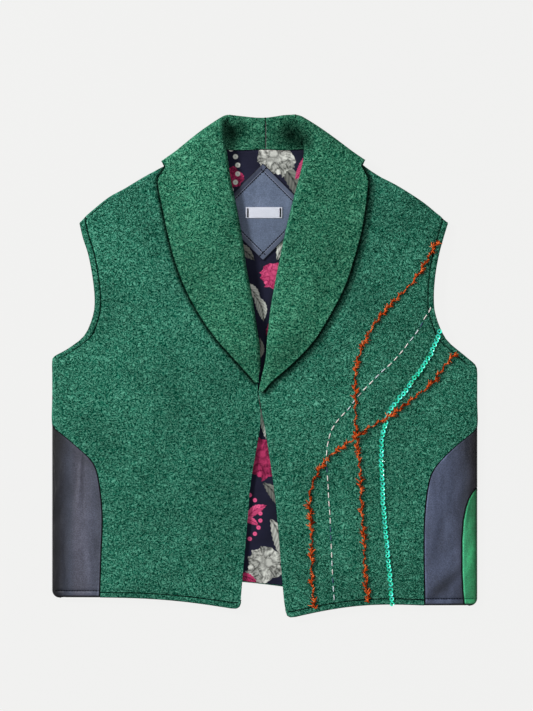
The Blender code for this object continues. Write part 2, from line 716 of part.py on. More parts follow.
def strip_points(side, rows, inner, outer, hem_y, front):
    """Middle points of a leather strip on the front or the back, with its outer edge on the
    seam of the green leather, or above it in the side fold."""
    radius = (LEATHER_FRONT_MID - LEATHER_BACK_MID - FOLD_GAP) / 2 - FOLD_END
    towards = -1 if front else 1
    made = []
    for y in rows:
        seam = inner(y) + LEATHER_SEAM_GAP
        fold = min(1.0, max(0.0, (y - GREEN_TOP) / FOLD_RUN))
        edge = side_x(hem_y, y) if fold else outer(y) - SEAM_GAP / 2
        base = edge - fold_reach(fold, radius, LEATHER)
        start = min(seam, base - LEATHER)
        flat = [(x, 0.0) for x in (start, *even(start, base, LEATHER_COLUMNS), base)]
        flat += [
            (base + outward, drop) for outward, drop in fold_outline(fold, radius, LEATHER_FOLD_STEPS)
        ]
        row = [
            (side * x, y, (leather_front_mid(x, y) if front else LEATHER_BACK_MID) + towards * drop)
            for x, drop in flat
        ]
        made.append(past_seam(row, side, seam) if seam > start else row)
    return made


# Collar


def neck_line(side):
    """The neck seam of one side, from the closing up to the shoulder and round to the back."""
    places = [place for place in row_places() if place >= NECK_START]
    line = [Vector((side * row.edge_x, row.edge_y)) for row in (front_row(side, p) for p in places)]
    neckline = outline_of(NECKLINE[side], 8.0)
    line += [Vector((side * spot.x, spot.y)) for spot in reversed(neckline[:-1])]
    line.append(Vector((-side * 20.0, line[-1].y)))
    return line


def distance_to(line, start, run):
    """Distance from a place, in a direction, to a line of points. None where it misses."""
    nearest = None
    for begin, end in zip(line, line[1:]):
        edge = end - begin
        cross = run.x * edge.y - run.y * edge.x
        if abs(cross) < 1e-9:
            continue
        gap = begin - start
        distance = (gap.x * edge.y - gap.y * edge.x) / cross
        part = (gap.x * run.y - gap.y * run.x) / cross
        if 0 <= part <= 1 and distance > 0 and (nearest is None or distance < nearest):
            nearest = distance
    return nearest


def collar_stations(side):
    table = COLLAR_ROWS[side]
    places = [0.0]
    for index, (start, end) in enumerate(zip(table, table[1:])):
        length = math.hypot(end.roll_x - start.roll_x, end.roll_y - start.roll_y)
        count = 2 if length > COLLAR_STEP else 1
        places += [index + part / count for part in range(1, count + 1)]
    rows = []
    for place in places:
        row = CollarRow(*curve_at(table, place))
        index = min(int(place), len(table) - 2)
        part = place - index
        straight = {
            name: mix(getattr(table[index], name), getattr(table[index + 1], name), part)
            for name in ("angle", "roll", "under")
        }
        rows.append(row._replace(**straight))
    return rows


def collar_section(side, row, seam):
    """Middle points across the collar at one station, from its outer edge over the roll to the
    neck seam."""
    roll, outer = Vector((row.roll_x, row.roll_y)), Vector((row.outer_x, row.outer_y))
    width = (outer - roll).length
    run = (outer - roll) / width
    outward = Vector((run.y, -run.x)) * -side
    angle = math.radians(row.angle)
    round_back = (1 - math.cos(angle)) / 2
    axis_z = COLLAR_AXIS

    def leaf_level(distance):
        spot = roll + run * distance
        front = front_top(*spot) + LAYER_GAP + COLLAR / 2 - axis_z
        return mix(front, axis_z - COLLAR / 2, round_back)

    under = roll + run * (ROLL_RADIUS + COLLAR / 2)
    stand = mix(STAND_MID + lift(*under) - axis_z, axis_z - COLLAR / 2 - 2 * ROLL_RADIUS, round_back)
    fullness = ease(row.roll)
    roll_top = mix(leaf_level(0.0), stand + 2 * ROLL_RADIUS, fullness)
    radius = mix(min(0.2 * width, ROLL_RADIUS), ROLL_RADIUS, fullness)
    centre = mix(0.25 * width, ROLL_RADIUS + COLLAR / 2, fullness)
    sweep = math.radians(mix(TIP_SWEEP, 180.0, row.under))

    section = []
    for part in LEAF_PARTS:
        distance = mix(centre, width, part)
        level = leaf_level(distance)
        crown = (1 + math.cos(math.pi * part)) / 2
        swell = SWELL * math.sin(math.pi * min(1.0, part * 1.25)) * (1 - round_back) * fullness
        section.append((distance, mix(level, roll_top, crown) + swell))
    for count in range(ROLL_STEPS + 1):
        turn = sweep * count / ROLL_STEPS
        section.append((centre - radius * math.sin(turn), roll_top - radius * (1 - math.cos(turn))))
    low = roll_top - radius * (1 - math.cos(sweep))
    reach = distance_to(seam, roll, run) if row.under > 0.9 else None
    if reach is None:
        tail = Vector((math.cos(sweep), math.sin(sweep))) * STUB
        end, low_end = centre - radius * math.sin(sweep) - tail.x, low - tail.y
    else:
        end, low_end = max(centre + STUB, reach - NECK_GAP), low
    start = centre - radius * math.sin(sweep)
    for part in STAND_PARTS:
        section.append((mix(start, end, part), mix(low, low_end, part)))

    up = math.cos(angle)
    side_way = math.sin(angle)
    made = []
    for distance, level in section:
        spot = roll + run * distance + outward * (side_way * level)
        made.append((spot.x, spot.y, axis_z + up * level))
    return made


def collar_points(side):
    seam = neck_line(side)
    return [collar_section(side, row, seam) for row in collar_stations(side)]


# Pieces


def cloth(name, rows, thickness, finish):
    """A wall of cloth made from a grid of middle points."""
    columns = len(rows[0])
    mesh = bmesh.new()
    bmesh.ops.create_grid(mesh, x_segments=columns - 1, y_segments=len(rows) - 1, size=1.0)
    mesh.verts.ensure_lookup_table()
    for index, vert in enumerate(mesh.verts):
        row, column = divmod(index, columns)
        vert.co = (Vector(rows[row][column]) - MIDDLE) * MM
    data = bpy.data.meshes.new(name)
    mesh.to_mesh(data)
    mesh.free()
    data.shade_smooth()
    data.set_sharp_from_angle(angle=math.radians(40))
    piece = bpy.data.objects.new(name, data)
    bpy.context.scene.collection.objects.link(piece)
    wall = piece.modifiers.new("wall", "SOLIDIFY")
    wall.thickness = thickness * MM
    wall.offset = 0.0
    wall.use_quality_normals = True
    data.materials.append(finish)
    return piece


def surface_under(piece):
    """A function that gives the height of a piece's upper surface at a place."""
    bpy.context.view_layer.update()
    tree = BVHTree.FromObject(piece, bpy.context.evaluated_depsgraph_get())

    def height(x, y):
        above = Vector((x, y, ABOVE)) - MIDDLE
        return tree.ray_cast(above * MM, Vector((0, 0, -1)))[0].z / MM

    return height


def patch_points(height):
    """Middle points of the square patch, which stands on its corner."""
    made = []
    for row in range(PATCH_CELLS + 1):
        line = []
        for column in range(PATCH_CELLS + 1):
            along = (column / PATCH_CELLS - 0.5) * PATCH_SIDE
            over = (row / PATCH_CELLS - 0.5) * PATCH_SIDE
            x = PATCH_X + (along - over) * math.sqrt(0.5)
            y = PATCH_Y + (along + over) * math.sqrt(0.5)
            line.append((x, y, height(x, y) + SEAM_GAP + PATCH / 2))
        made.append(line)
    return made


def label_points(height):
    made = []
    for y in (LABEL_Y - LABEL_WIDE / 2, LABEL_Y, LABEL_Y + LABEL_WIDE / 2):
        places = [LABEL_X + LABEL_LONG * (part / 4 - 0.5) for part in range(5)]
        made.append([(x, y, height(x, y) + SEAM_GAP + LABEL / 2) for x in places])
    return made


def yarn_centres(places, height, crosses):
    """Centres of a yarn's rings, with a hump where it crosses over the other yarn."""
    centres = []
    for place in outline_of(places, YARN_STEP):
        away = math.hypot(place.x - YARN_CROSS.x, place.y - YARN_CROSS.y)
        hump = YARN_HUMP * (1 - ease(away / CROSSING)) if crosses else 0.0
        centres.append(Vector((place.x, place.y, height(place.x, place.y) + YARN_LIE + hump)))
    return centres


def couched_yarn(name, centres, finish):
    """A yarn laid along a line on a front, with loose tufts pulled out of it on both sides."""
    mesh = bmesh.new()
    bmesh.ops.create_cone(
        mesh, segments=YARN_SIDES, radius1=YARN_RADIUS, radius2=YARN_RADIUS, depth=1.0, cap_ends=True
    )
    lengthwise = [edge for edge in mesh.edges if abs(edge.verts[0].co.z - edge.verts[1].co.z) > 0.5]
    bmesh.ops.subdivide_edges(mesh, edges=lengthwise, cuts=len(centres) - 2)
    last = len(centres) - 1
    frames = []
    for index, centre in enumerate(centres):
        run = (centres[min(last, index + 1)] - centres[max(0, index - 1)]).normalized()
        sideways = Vector((0, 0, 1)).cross(run).normalized()
        frames.append((centre, sideways, run.cross(sideways), run))
    for vert in mesh.verts:
        centre, sideways, up, _ = frames[round((vert.co.z + 0.5) * last)]
        vert.co = centre - MIDDLE + sideways * vert.co.x + up * vert.co.y
    mesh.normal_update()
    roots, ways = [], []
    for face in mesh.faces:
        middle = face.calc_center_median()
        index = min(range(len(frames)), key=lambda item: (frames[item][0] - MIDDLE - middle).length)
        leaning = face.normal.dot(frames[index][1])
        if len(face.verts) == 4 and abs(leaning) > 0.8 and 0 < index < last:
            roots.append(face)
            ways.append((frames[index][1] * math.copysign(1.0, leaning), frames[index][3]))
    grown = bmesh.ops.extrude_discrete_faces(mesh, faces=roots)["faces"]
    for count, (face, (outward, run)) in enumerate(zip(grown, ways)):
        middle = face.calc_center_median()
        lean = run * TUFT_LEAN * math.sin(2.4 * count)
        reach = outward * TUFT_LONG * (0.75 + 0.25 * math.sin(5.1 * count))
        for vert in face.verts:
            vert.co = middle + (vert.co - middle) * TUFT_TIP + reach + lean + Vector((0, 0, TUFT_RISE))
    bmesh.ops.scale(mesh, vec=(MM, MM, MM), verts=mesh.verts)
    data = bpy.data.meshes.new(name)
    mesh.to_mesh(data)
    mesh.free()
    piece = bpy.data.objects.new(name, data)
    bpy.context.scene.collection.objects.link(piece)
    data.materials.append(finish)
    return piece


def build():
    clear_scene()
    green_wool = material("green felted wool", (0.028, 0.145, 0.095), 0.95)
    navy_leather = material("navy leather", (0.065, 0.07, 0.115), 0.5)
    green_leather = material("green leather", (0.04, 0.25, 0.11), 0.5)
    blue_leather = material("slate blue leather", (0.14, 0.18, 0.26), 0.55)
    floral_lining = material("navy floral lining", (0.03, 0.03, 0.06), 0.6)
    woven_tape = material("white woven tape", (0.7, 0.72, 0.8), 0.7)
    orange_yarn = material("orange yarn", (0.5, 0.08, 0.03), 0.9)

    cloth("back", back_points(), WOOL, green_wool)
    lining = cloth("back_lining", lining_points(), LINING, floral_lining)
    cloth("front_right", front_points(RIGHT), WOOL, green_wool)
    left = cloth("front_left", front_points(LEFT), WOOL, green_wool)
    cloth("collar_right", collar_points(RIGHT), COLLAR, green_wool)
    cloth("collar_left", collar_points(LEFT), COLLAR, green_wool)

    rows, stations, hem_y = leather_rows(RIGHT)
    points = wrapped_points(RIGHT, rows, lambda y: seam_x(stations, y), hem_y)
    cloth("leather_right_side", points, LEATHER, navy_leather)

    extra = [seam.y for seam in GREEN_SEAM] + [GREEN_TOP + FOLD_RUN * 0.75]
    rows, stations, hem_y = leather_rows(LEFT, extra)
    for name, front in (("leather_left_front", True), ("leather_left_back", False)):
        points = strip_points(
            LEFT, rows, lambda y: seam_x(stations, y), lambda y: seam_x(GREEN_SEAM, y), hem_y, front
        )
        cloth(name, points, LEATHER, navy_leather)
    top = GREEN_TOP - GREEN_TOP_GAP
    rows = [y for y in rows if y < top] + [top]
    points = wrapped_points(LEFT, rows, lambda y: seam_x(GREEN_SEAM, y) - LEATHER_SEAM_GAP / 2, hem_y)
    cloth("leather_left_fold", points, LEATHER, green_leather)

    patch = cloth("neck_patch", patch_points(surface_under(lining)), PATCH, blue_leather)
    cloth("woven_label", label_points(surface_under(patch)), LABEL, woven_tape)
    over_left = surface_under(left)
    for name, places in YARN_LINES.items():
        crosses = name == "couched_yarn_lower"
        couched_yarn(name, yarn_centres(places, over_left, crosses), orange_yarn)


build()
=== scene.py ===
"""The looks of a felted wool vest with a shawl collar, laid flat on its back.

Lengths are in millimetres until a point goes into a mesh, which holds metres.
+X is the wearer's left, +Y runs from the hem to the collar, and +Z is up from the table.
"""

import math
import random
from collections import namedtuple

import bmesh
import bpy
from mathutils import Matrix, Vector
from mathutils.bvhtree import BVHTree


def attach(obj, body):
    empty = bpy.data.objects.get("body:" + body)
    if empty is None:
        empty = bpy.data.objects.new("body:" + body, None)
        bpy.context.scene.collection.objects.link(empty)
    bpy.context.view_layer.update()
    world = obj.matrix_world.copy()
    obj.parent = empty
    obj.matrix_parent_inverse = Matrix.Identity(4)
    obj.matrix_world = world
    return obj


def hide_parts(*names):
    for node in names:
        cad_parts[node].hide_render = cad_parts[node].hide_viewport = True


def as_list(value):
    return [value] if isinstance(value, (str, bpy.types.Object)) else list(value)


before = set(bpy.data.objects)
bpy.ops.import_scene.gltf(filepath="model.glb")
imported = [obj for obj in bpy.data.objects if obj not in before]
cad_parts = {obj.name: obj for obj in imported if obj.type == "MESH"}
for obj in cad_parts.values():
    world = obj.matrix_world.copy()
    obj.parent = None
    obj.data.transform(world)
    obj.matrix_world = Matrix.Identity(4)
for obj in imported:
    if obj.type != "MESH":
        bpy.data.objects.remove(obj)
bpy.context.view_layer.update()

MM = 0.001
ABOVE = 200.0
FAR = 40.0
RIGHT, LEFT = -1, 1
SIDE_NAMES = {RIGHT: "right", LEFT: "left"}
MIDDLE = Vector((0.0, 0.85, 0.0))

# Thickness of each wall
WOOL = 3.0
LINING = 1.0
LEATHER = 2.0
COLLAR = 5.0
PATCH = 1.6
LABEL = 0.8

# Room left between layers that lie on each other
LAYER_GAP = 0.5
BACK_MID = WOOL / 2
LINING_MID = WOOL + LAYER_GAP + LINING / 2
FRONT_MID = WOOL + LINING + 2 * LAYER_GAP + WOOL / 2
FRONT_TOP = FRONT_MID + WOOL / 2
STAND_MID = WOOL + LINING + PATCH + 3 * LAYER_GAP + COLLAR / 2
LEATHER_FRONT_MID = FRONT_TOP - 0.6 - LEATHER / 2
LEATHER_BACK_MID = LEATHER / 2

# Folds where front and back meet at the sides and shoulders
SIDE_X = 254.7
FOLD_MID = (BACK_MID + FRONT_MID) / 2
FOLD_END = 0.4
FOLD_GAP = 0.3
FOLD_RADIUS = (FRONT_MID - BACK_MID - FOLD_GAP) / 2 - FOLD_END
FOLD_STEPS = 4
CORNER = 8.0

# Grid steps
ROW_STEP = 9.0
HEM_STEP = 21.0
FRONT_PARTS = (0.0, 0.008, 0.018, 0.03) + tuple(0.03 + 0.89 * part / 22 for part in range(1, 23))
NECK_PARTS = (0.0, 0.04, 0.08, 0.12, 0.16, 0.2, 0.24, 0.28)
LEATHER_COLUMNS = 12
LEATHER_FOLD_STEPS = 5
NEAR_SEAM = ((1.0, 0.1), (3.0, 0.2), (5.5, 0.35))
TIP_PARTS = (0.2, 0.4, 0.6)
COLLAR_STEP = 8.0
COLLAR_TURN = 15.0
LEAF_PARTS = (1.0, 0.985, 0.96, 0.93) + tuple(0.93 - 0.93 * part / 20 for part in range(1, 20))
ROLL_STEPS = 10
STAND_PARTS = (0.25, 0.5, 0.75, 1.0)
PATCH_CELLS = 44

# Collar: the roll, its swell, and the fall that lies folded under the back
ROLL_RADIUS = 3.2
SWELL = 1.6
COLLAR_AXIS = LAYER_GAP + COLLAR + FOLD_MID
NECK_GAP = 0.5
TIP_SWEEP = 10.0
STUB = 1.2
NECK_START = 11
FALL_Y = 204.0
FALL_RISE = 28.0
FALL_HALF = 125.0
LIFT = COLLAR + LAYER_GAP
LIFT_EASE = 100.0

# Hem of the back, higher in the middle than the fronts
BACK_HEM_Y = -260.7
BACK_HEM_SLANT = -0.09
BACK_INSET = 2.0
LINING_INSET = 5.5
LINING_HEM_INSET = 1.2
LINING_SHOULDER_INSET = 7.0
LINING_NECK_HALF = 55.0
LINING_NECK_GAP = 0.3
NECK_END = 68.0
LEATHER_SEAM_GAP = 0.15

# How far the hem of each front bows up between its ends, and over what height that fades
HEM_BOW = {RIGHT: 4.0, LEFT: 7.2}
HEM_BOW_TALL = 110.0

# Width of the shade beside the collar: the larger the share, the narrower it is
PAINTED_SHADE_SHARE = 0.36

# Soft body of the fronts: full height, how much of it is left at the hem and the front edge,
# where those lie, and the slope of the shoulders
LOFT = 2.2
LOFT_EASE = 60.0
HEM_LOFT, HEM_LOFT_Y = 0.35, -288.0
EDGE_LOFT, EDGE_LOFT_X = 0.2, 8.0
SHOULDER_X, SHOULDER_Y = 72.0, 270.0
SHOULDER_SLOPE = 0.64

# Leather patch in the neck and the woven label on it
PATCH_SIDE = 82.0
PATCH_X, PATCH_Y = -2.1, 185.2
PATCH_STITCH_IN = 6.7
LABEL_LONG, LABEL_WIDE = 43.5, 13.0
LABEL_X, LABEL_Y = -0.9, 184.3

# Length over which one yarn rises to cross the other
CROSSING = 22.0

# Kinds of stitch: pitch, length, radius and rise over the cloth
ARMHOLE_STITCH = (4.0, 2.7, 0.35, 0.1)
HEM_STITCH = (4.0, 2.7, 0.3, 0.15)
LEATHER_STITCH = (3.2, 2.2, 0.55, 0.3)
GREEN_STITCH = (3.0, 2.0, 0.3, 0.2)
PATCH_STITCH = (3.3, 2.4, 0.62, 0.25)
LABEL_STITCH = (1.5, 1.5, 0.85, 0.25)
LONG_STITCH = (5.0, 6.4, 0.66, 0.5)
LONG_PITCH = 10.2

# Couched yarn: the step between its tufts, and how far it rises at the crossing
YARN_STEP = 1.3
YARN_RISE = 3.6

# Sequins: their pitch, and the flat middle and rim of each cup as start height, inner and outer
# radius, and depth
SEQUIN_PITCH = 5.75
SEQUIN_CUP = ((0.0, 1.15, 1.8, 0.12), (0.12, 1.8, 2.9, 0.6))

# Camera, in metres: its height, and how much of the floor's length it sees
CAMERA_HIGH = 3.0
FIELD_TALL = 0.8532

# Stitched margins: distance from the edge, and the relief of the cloth there
STITCH_IN = 7.5
Groove = namedtuple("Groove", "distance height")
MARGIN = (
    Groove(0.0, -0.4), Groove(1.2, -0.1), Groove(2.6, 0.25), Groove(4.2, 0.35), Groove(5.6, 0.25),
    Groove(6.8, -0.4), Groove(STITCH_IN, -0.9), Groove(8.2, -0.4), Groove(9.4, 0.1),
    Groove(11.5, 0.2), Groove(15.0, 0.0),
)
SIDE_MARGIN = tuple(groove.distance for groove in MARGIN if groove.distance > 5.0)

columns = "edge_x edge_y side_x side_y arch fold stitched"
FrontRow = namedtuple("FrontRow", columns, defaults=(0, 0, 0))
Place = namedtuple("Place", "x y")
CollarRow = namedtuple("CollarRow", "roll_x roll_y outer_x outer_y angle roll under")
SoftFold = namedtuple("SoftFold", "x y degrees half_length half_width height")


def table(kind, *rows):
    return tuple(kind(*row) for row in rows)


# Rows across each front, from the hem to the shoulder: where the row leaves the front edge or
# the neck seam, and where it ends at the leather seam, the side fold, the armhole or the shoulder.
FRONT_ROWS = {
    RIGHT: table(
        FrontRow,
        (29.7, -290.7, 197.0, -275.7),
        (27.8, -267.9, 196.1, -255.9),
        (24.9, -231.9, 194.9, -222.3),
        (20.6, -183.9, 193.5, -181.5),
        (17.2, -141.9, 196.5, -145.5),
        (11.7, -108.3, 203.7, -116.7),
        (6.8, -80.0, 224.1, -95.7),
        (4.9, -60.0, 249.6, -74.6),
        (4.9, -54.0, 254.7, -68.5, 0, 0.7),
        (8.3, -30.3, 254.7, -40.0, 0, 1),
        (8.7, -19.5, 254.7, -20.0, 0, 1),
        (15.5, -11.7, 254.7, -8.0, 0, 1),
        (16.5, 5.0, 254.4, 6.5, 0, 0.7),
        (18.0, 26.1, 251.5, 12.3, 0, 0, 1),
        (23.5, 53.7, 236.1, 20.7, 0, 0, 1),
        (29.5, 83.7, 215.7, 36.9, 0, 0, 1),
        (36.0, 113.7, 205.1, 60.9, 0, 0, 1),
        (41.5, 142.5, 203.1, 82.5, 0, 0, 1),
        (47.5, 173.7, 206.1, 110.1, 0.2, 0, 1),
        (52.5, 200.1, 211.1, 135.3, 0.45, 0, 1),
        (58.5, 228.0, 217.4, 154.5, 0.75, 0, 1),
        (74.0, 270.0, 221.7, 173.1, 1.0, 0, 1),
    ),
    LEFT: table(
        FrontRow,
        (26.7, -301.5, 190.6, -285.3),
        (23.1, -279.9, 190.4, -265.5),
        (19.1, -231.9, 189.7, -227.1),
        (15.2, -183.9, 190.3, -181.5),
        (10.6, -141.9, 194.7, -143.1),
        (4.9, -103.5, 202.5, -121.5),
        (0.5, -75.0, 222.3, -99.9),
        (-3.0, -57.0, 249.6, -77.3),
        (-3.8, -51.0, 254.7, -71.0, 0, 0.7),
        (-6.9, -34.0, 254.7, -44.0, 0, 1),
        (-6.7, -26.1, 254.7, -28.0, 0, 1),
        (6.1, -20.7, 254.7, -16.0, 0, 1),
        (11.0, 5.0, 254.2, -5.5, 0, 0.7),
        (14.0, 26.1, 251.5, 2.5, 0, 0, 1),
        (18.5, 53.7, 237.5, 14.3, 0, 0, 1),
        (24.0, 83.7, 216.3, 33.3, 0, 0, 1),
        (30.0, 113.7, 204.3, 60.9, 0, 0, 1),
        (36.5, 142.5, 201.9, 82.5, 0, 0, 1),
        (44.0, 173.7, 203.8, 110.1, 0.2, 0, 1),
        (51.0, 200.1, 208.4, 135.3, 0.45, 0, 1),
        (57.5, 228.0, 213.7, 154.5, 0.75, 0, 1),
        (70.0, 270.0, 219.4, 173.0, 1.0, 0, 1),
    ),
}

# Outline of each shoulder, from the neck to the armhole
SHOULDER = {
    RIGHT: table(
        Place,
        (74.0, 270.0), (90.0, 260.6), (104.3, 251.3), (117.4, 241.7), (131.2, 234.2),
        (149.7, 224.1), (167.7, 213.3), (185.7, 203.7), (203.7, 190.5), (214.0, 181.0),
        (221.7, 173.1),
    ),
    LEFT: table(
        Place,
        (70.0, 270.0), (87.0, 262.9), (101.5, 253.3), (114.6, 243.7), (126.0, 235.0),
        (138.3, 227.0), (156.3, 218.1), (174.3, 207.3), (192.3, 195.3), (210.3, 180.9),
        (219.4, 173.0),
    ),
}

# Back of the neck, from the middle to the right shoulder and to the left one
NECKLINE = {
    RIGHT: table(Place, (0, 260.0), (28, 259.0), (50, 260.0), (64, 264.0), (74, 270.0)),
    LEFT: table(Place, (0, 260.0), (28, 259.0), (50, 260.5), (61, 264.0), (70, 270.0)),
}

# Stations along each half of the collar, from the tip to the middle of the back: the roll, the
# outer edge, the angle through which the collar has turned over the shoulder, how full the roll
# is, and how far the cloth turns under at the roll.
COLLAR_ROWS = {
    RIGHT: table(
        CollarRow,
        (-7.7, -18.8, -12.2, -18.6, 0, 0.0, 0.0),
        (-6.4, -11.1, -19.5, -9.9, 0, 0.0, 0.0),
        (-3.3, 5.7, -35.7, 8.1, 0, 0.4, 0.3),
        (-6.5, 29.7, -56.7, 31.5, 0, 1.0, 1.0),
        (-10.7, 56.1, -74.9, 56.7, 0, 1.0, 1.0),
        (-15.7, 88.5, -93.5, 89.7, 0, 1.0, 1.0),
        (-21.8, 118.5, -105.3, 119.7, 0, 1.0, 1.0),
        (-26.1, 149.7, -114.3, 152.1, 0, 1.0, 1.0),
        (-33.5, 190.5, -122.9, 192.9, 0, 1.0, 1.0),
        (-40.1, 221.7, -126.7, 213.0, 0, 1.0, 1.0),
        (-44.3, 251.0, -127.2, 224.0, 0, 1.0, 1.0),
        (-47.4, 271.0, -123.4, 230.5, 0, 1.0, 0.5),
        (-48.0, 286.1, -118.4, 238.3, 0, 1.0, 0.45),
        (-45.0, 288.4, -118.4, 238.3, 45, 1.0, 0.45),
        (-39.4, 292.6, -118.4, 238.3, 90, 1.0, 0.45),
        (-38.2, 297.6, -118.4, 238.3, 135, 1.0, 0.45),
        (-41.5, 301.0, -118.4, 238.3, 180, 1.0, 0.5),
        (-36.0, 300.7, -101.0, 227.5, 180, 1.0, 1.0),
        (-24.0, 299.6, -70.0, 215.5, 180, 1.0, 1.0),
        (-10.0, 298.4, -33.0, 208.5, 180, 1.0, 1.0),
        (1.1, 298.3, 1.1, 206.0, 180, 1.0, 1.0),
    ),
    LEFT: table(
        CollarRow,
        (-6.4, -28.4, -1.8, -30.0, 0, 0.0, 0.0),
        (-5.9, -17.5, 7.5, -18.7, 0, 0.0, 0.0),
        (-1.9, 5.7, 33.9, 4.5, 0, 0.4, 0.3),
        (2.6, 32.1, 58.7, 30.9, 0, 1.0, 1.0),
        (5.9, 62.1, 78.3, 62.1, 0, 1.0, 1.0),
        (11.1, 94.5, 95.1, 94.5, 0, 1.0, 1.0),
        (17.7, 128.1, 106.5, 128.1, 0, 1.0, 1.0),
        (24.7, 161.7, 115.5, 161.7, 0, 1.0, 1.0),
        (33.3, 196.5, 120.9, 195.3, 0, 1.0, 1.0),
        (40.5, 224.1, 122.7, 213.5, 0, 1.0, 1.0),
        (46.5, 251.0, 123.0, 224.0, 0, 1.0, 1.0),
        (45.4, 273.0, 119.5, 231.0, 0, 1.0, 0.5),
        (39.5, 288.1, 115.1, 239.5, 0, 1.0, 0.45),
        (37.0, 289.9, 115.1, 239.5, 45, 1.0, 0.45),
        (33.3, 292.5, 115.1, 239.5, 90, 1.0, 0.45),
        (32.2, 297.4, 115.1, 239.5, 135, 1.0, 0.45),
        (35.6, 301.2, 115.1, 239.5, 180, 1.0, 0.5),
        (30.5, 301.3, 97.0, 227.5, 180, 1.0, 1.0),
        (22.0, 301.2, 66.0, 215.5, 180, 1.0, 1.0),
        (11.0, 299.6, 31.0, 208.5, 180, 1.0, 1.0),
        (1.5, 298.3, 1.5, 206.0, 180, 1.0, 1.0),
    ),
}

# Seam between the dark leather and the green leather at the left side, from the hem up
GREEN_SEAM = table(
    Place,
    (237.9, -285.3), (236.2, -267.9), (235.1, -243.9), (235.0, -207.9), (236.7, -183.9),
    (239.5, -169.5), (243.0, -159.0), (247.5, -151.0), (250.2, -147.0),
)
GREEN_TOP = -146.0
FOLD_RUN = 2.6

# Broad soft folds in the fronts
SOFT_FOLDS = table(
    SoftFold,
    (-165, -30, 38, 95, 26, 1.3), (-100, -165, 82, 120, 30, 1.0),
    (-45, -120, 100, 90, 24, -0.7), (-190, 60, 65, 70, 24, 0.8),
    (160, -25, -36, 90, 26, 1.2), (90, -205, 97, 110, 30, 0.9),
    (150, -150, 70, 90, 28, -0.7), (185, 70, -62, 70, 24, 0.8),
)

# Couched yarn: the line that runs down from the armhole, and the one that crosses over it
YARN_LINES = {
    "couched_yarn_upper": table(
        Place,
        (206.0, 150.0), (192.9, 125.6), (175.7, 99.8), (158.6, 82.6), (137.2, 59.1), (121.1, 33.4),
        (109.4, 1.4), (108.4, -36.5), (109.4, -84.1), (114.2, -126.7), (115.4, -162.3),
        (118.9, -212.1), (119.5, -240.7), (124.5, -281.5),
    ),
    "couched_yarn_lower": table(
        Place,
        (228.0, 16.5), (213.8, -1.0), (199.5, -20.0), (175.9, -38.9), (149.7, -59.1),
        (123.7, -73.4), (109.4, -84.1), (78.5, -106.5), (59.6, -133.9), (53.7, -159.9),
        (56.0, -200.2), (56.0, -228.8), (57.2, -264.3), (60.3, -289.0),
    ),
}
YARN_CROSS = Place(109.4, -84.1)

# The other stitched lines on the left front
RUNNING_STITCH = table(
    Place,
    (201.4, 77.3), (197.2, 67.6), (191.8, 59.1), (186.4, 48.4), (179.0, 37.6), (171.1, 27.5),
    (164.0, 18.1), (150.9, 3.8), (140.2, -5.7), (130.7, -15.2), (118.9, -27.1), (109.4, -37.7),
    (99.9, -50.7), (90.4, -60.3), (83.3, -69.8), (78.5, -79.3), (75.1, -93.5), (73.9, -107.7),
    (74.3, -122.0), (75.7, -140.9), (76.6, -159.9), (78.1, -178.9), (78.5, -193.1), (79.7, -216.9),
    (80.5, -235.9), (81.4, -254.8), (83.3, -281.0),
)
SEQUIN_LINE = table(
    Place,
    (209.0, 41.9), (204.3, 29.8), (197.2, 13.3), (187.7, -1.0), (179.3, -12.8), (171.1, -24.7),
    (161.6, -36.5), (152.1, -48.4), (147.4, -57.9), (143.8, -69.8), (140.2, -84.1), (139.5, -98.2),
    (139.5, -122.2), (140.9, -145.7), (141.9, -169.4), (143.8, -188.5), (145.0, -207.4),
    (147.4, -228.8), (149.7, -250.1), (150.9, -273.8), (152.1, -283.5),
)

# Dark and light tones of the lining's print
PINKS = ((150, 22, 74), (240, 96, 146))
CRIMSONS = ((96, 16, 50), (205, 62, 112))
GREYS = ((74, 76, 72), (226, 228, 220))
DIM_GREYS = ((40, 42, 44), (140, 142, 134))

# The lining's print: kind, x, y, size, turn in degrees, and its dark and light tones
PRINT = (
    ("leaf", 34, 224, 24, 60, DIM_GREYS),
    ("bloom", 12, 250, 25, 20, GREYS),
    ("bloom", -40, 226, 15, 0, CRIMSONS),
    ("dots", -72, 236, 40, 0, GREYS),
    ("leaf", 44, 236, 14, 110, PINKS),
    ("leaf", -26, 140, 18, 30, DIM_GREYS),
    ("bloom", 9, 110, 17, 75, PINKS),
    ("leaf", -16, 92, 17, 40, GREYS),
    ("leaf", -8, -40, 15, 20, GREYS),
    ("leaf", -22, 165, 16, 120, GREYS),
    ("leaf", 24, 146, 20, -50, GREYS),
    ("leaf", -4, 72, 17, 70, GREYS),
    ("bloom", 12, 42, 13, 10, CRIMSONS),
    ("leaf", -6, 20, 15, 100, DIM_GREYS),
    ("leaf", 2, -66, 20, 80, GREYS),
    ("leaf", 12, -152, 19, 55, DIM_GREYS),
    ("bloom", -4, -110, 27, 40, CRIMSONS),
    ("leaf", -12, -172, 15, -35, PINKS),
    ("leaf", -17, -184, 11, 20, PINKS),
    ("dots", -38, -180, 33, 0, PINKS),
    ("leaf", 18, -204, 24, 75, GREYS),
    ("bloom", 0, -236, 25, 110, GREYS),
    ("leaf", -22, -252, 14, 15, CRIMSONS),
)


# Curves and easing


def mix(start, end, part):
    return start + (end - start) * part


def ease(part):
    part = min(1.0, max(0.0, part))
    return part * part * (3.0 - 2.0 * part)


def curve_value(before, start, end, after, part):
    """One value of the smooth curve that passes through start and end."""
    square, cube = part * part, part * part * part
    return 0.5 * (
        2 * start
        + (end - before) * part
        + (2 * before - 5 * start + 4 * end - after) * square
        + (3 * start - before - 3 * end + after) * cube
    )


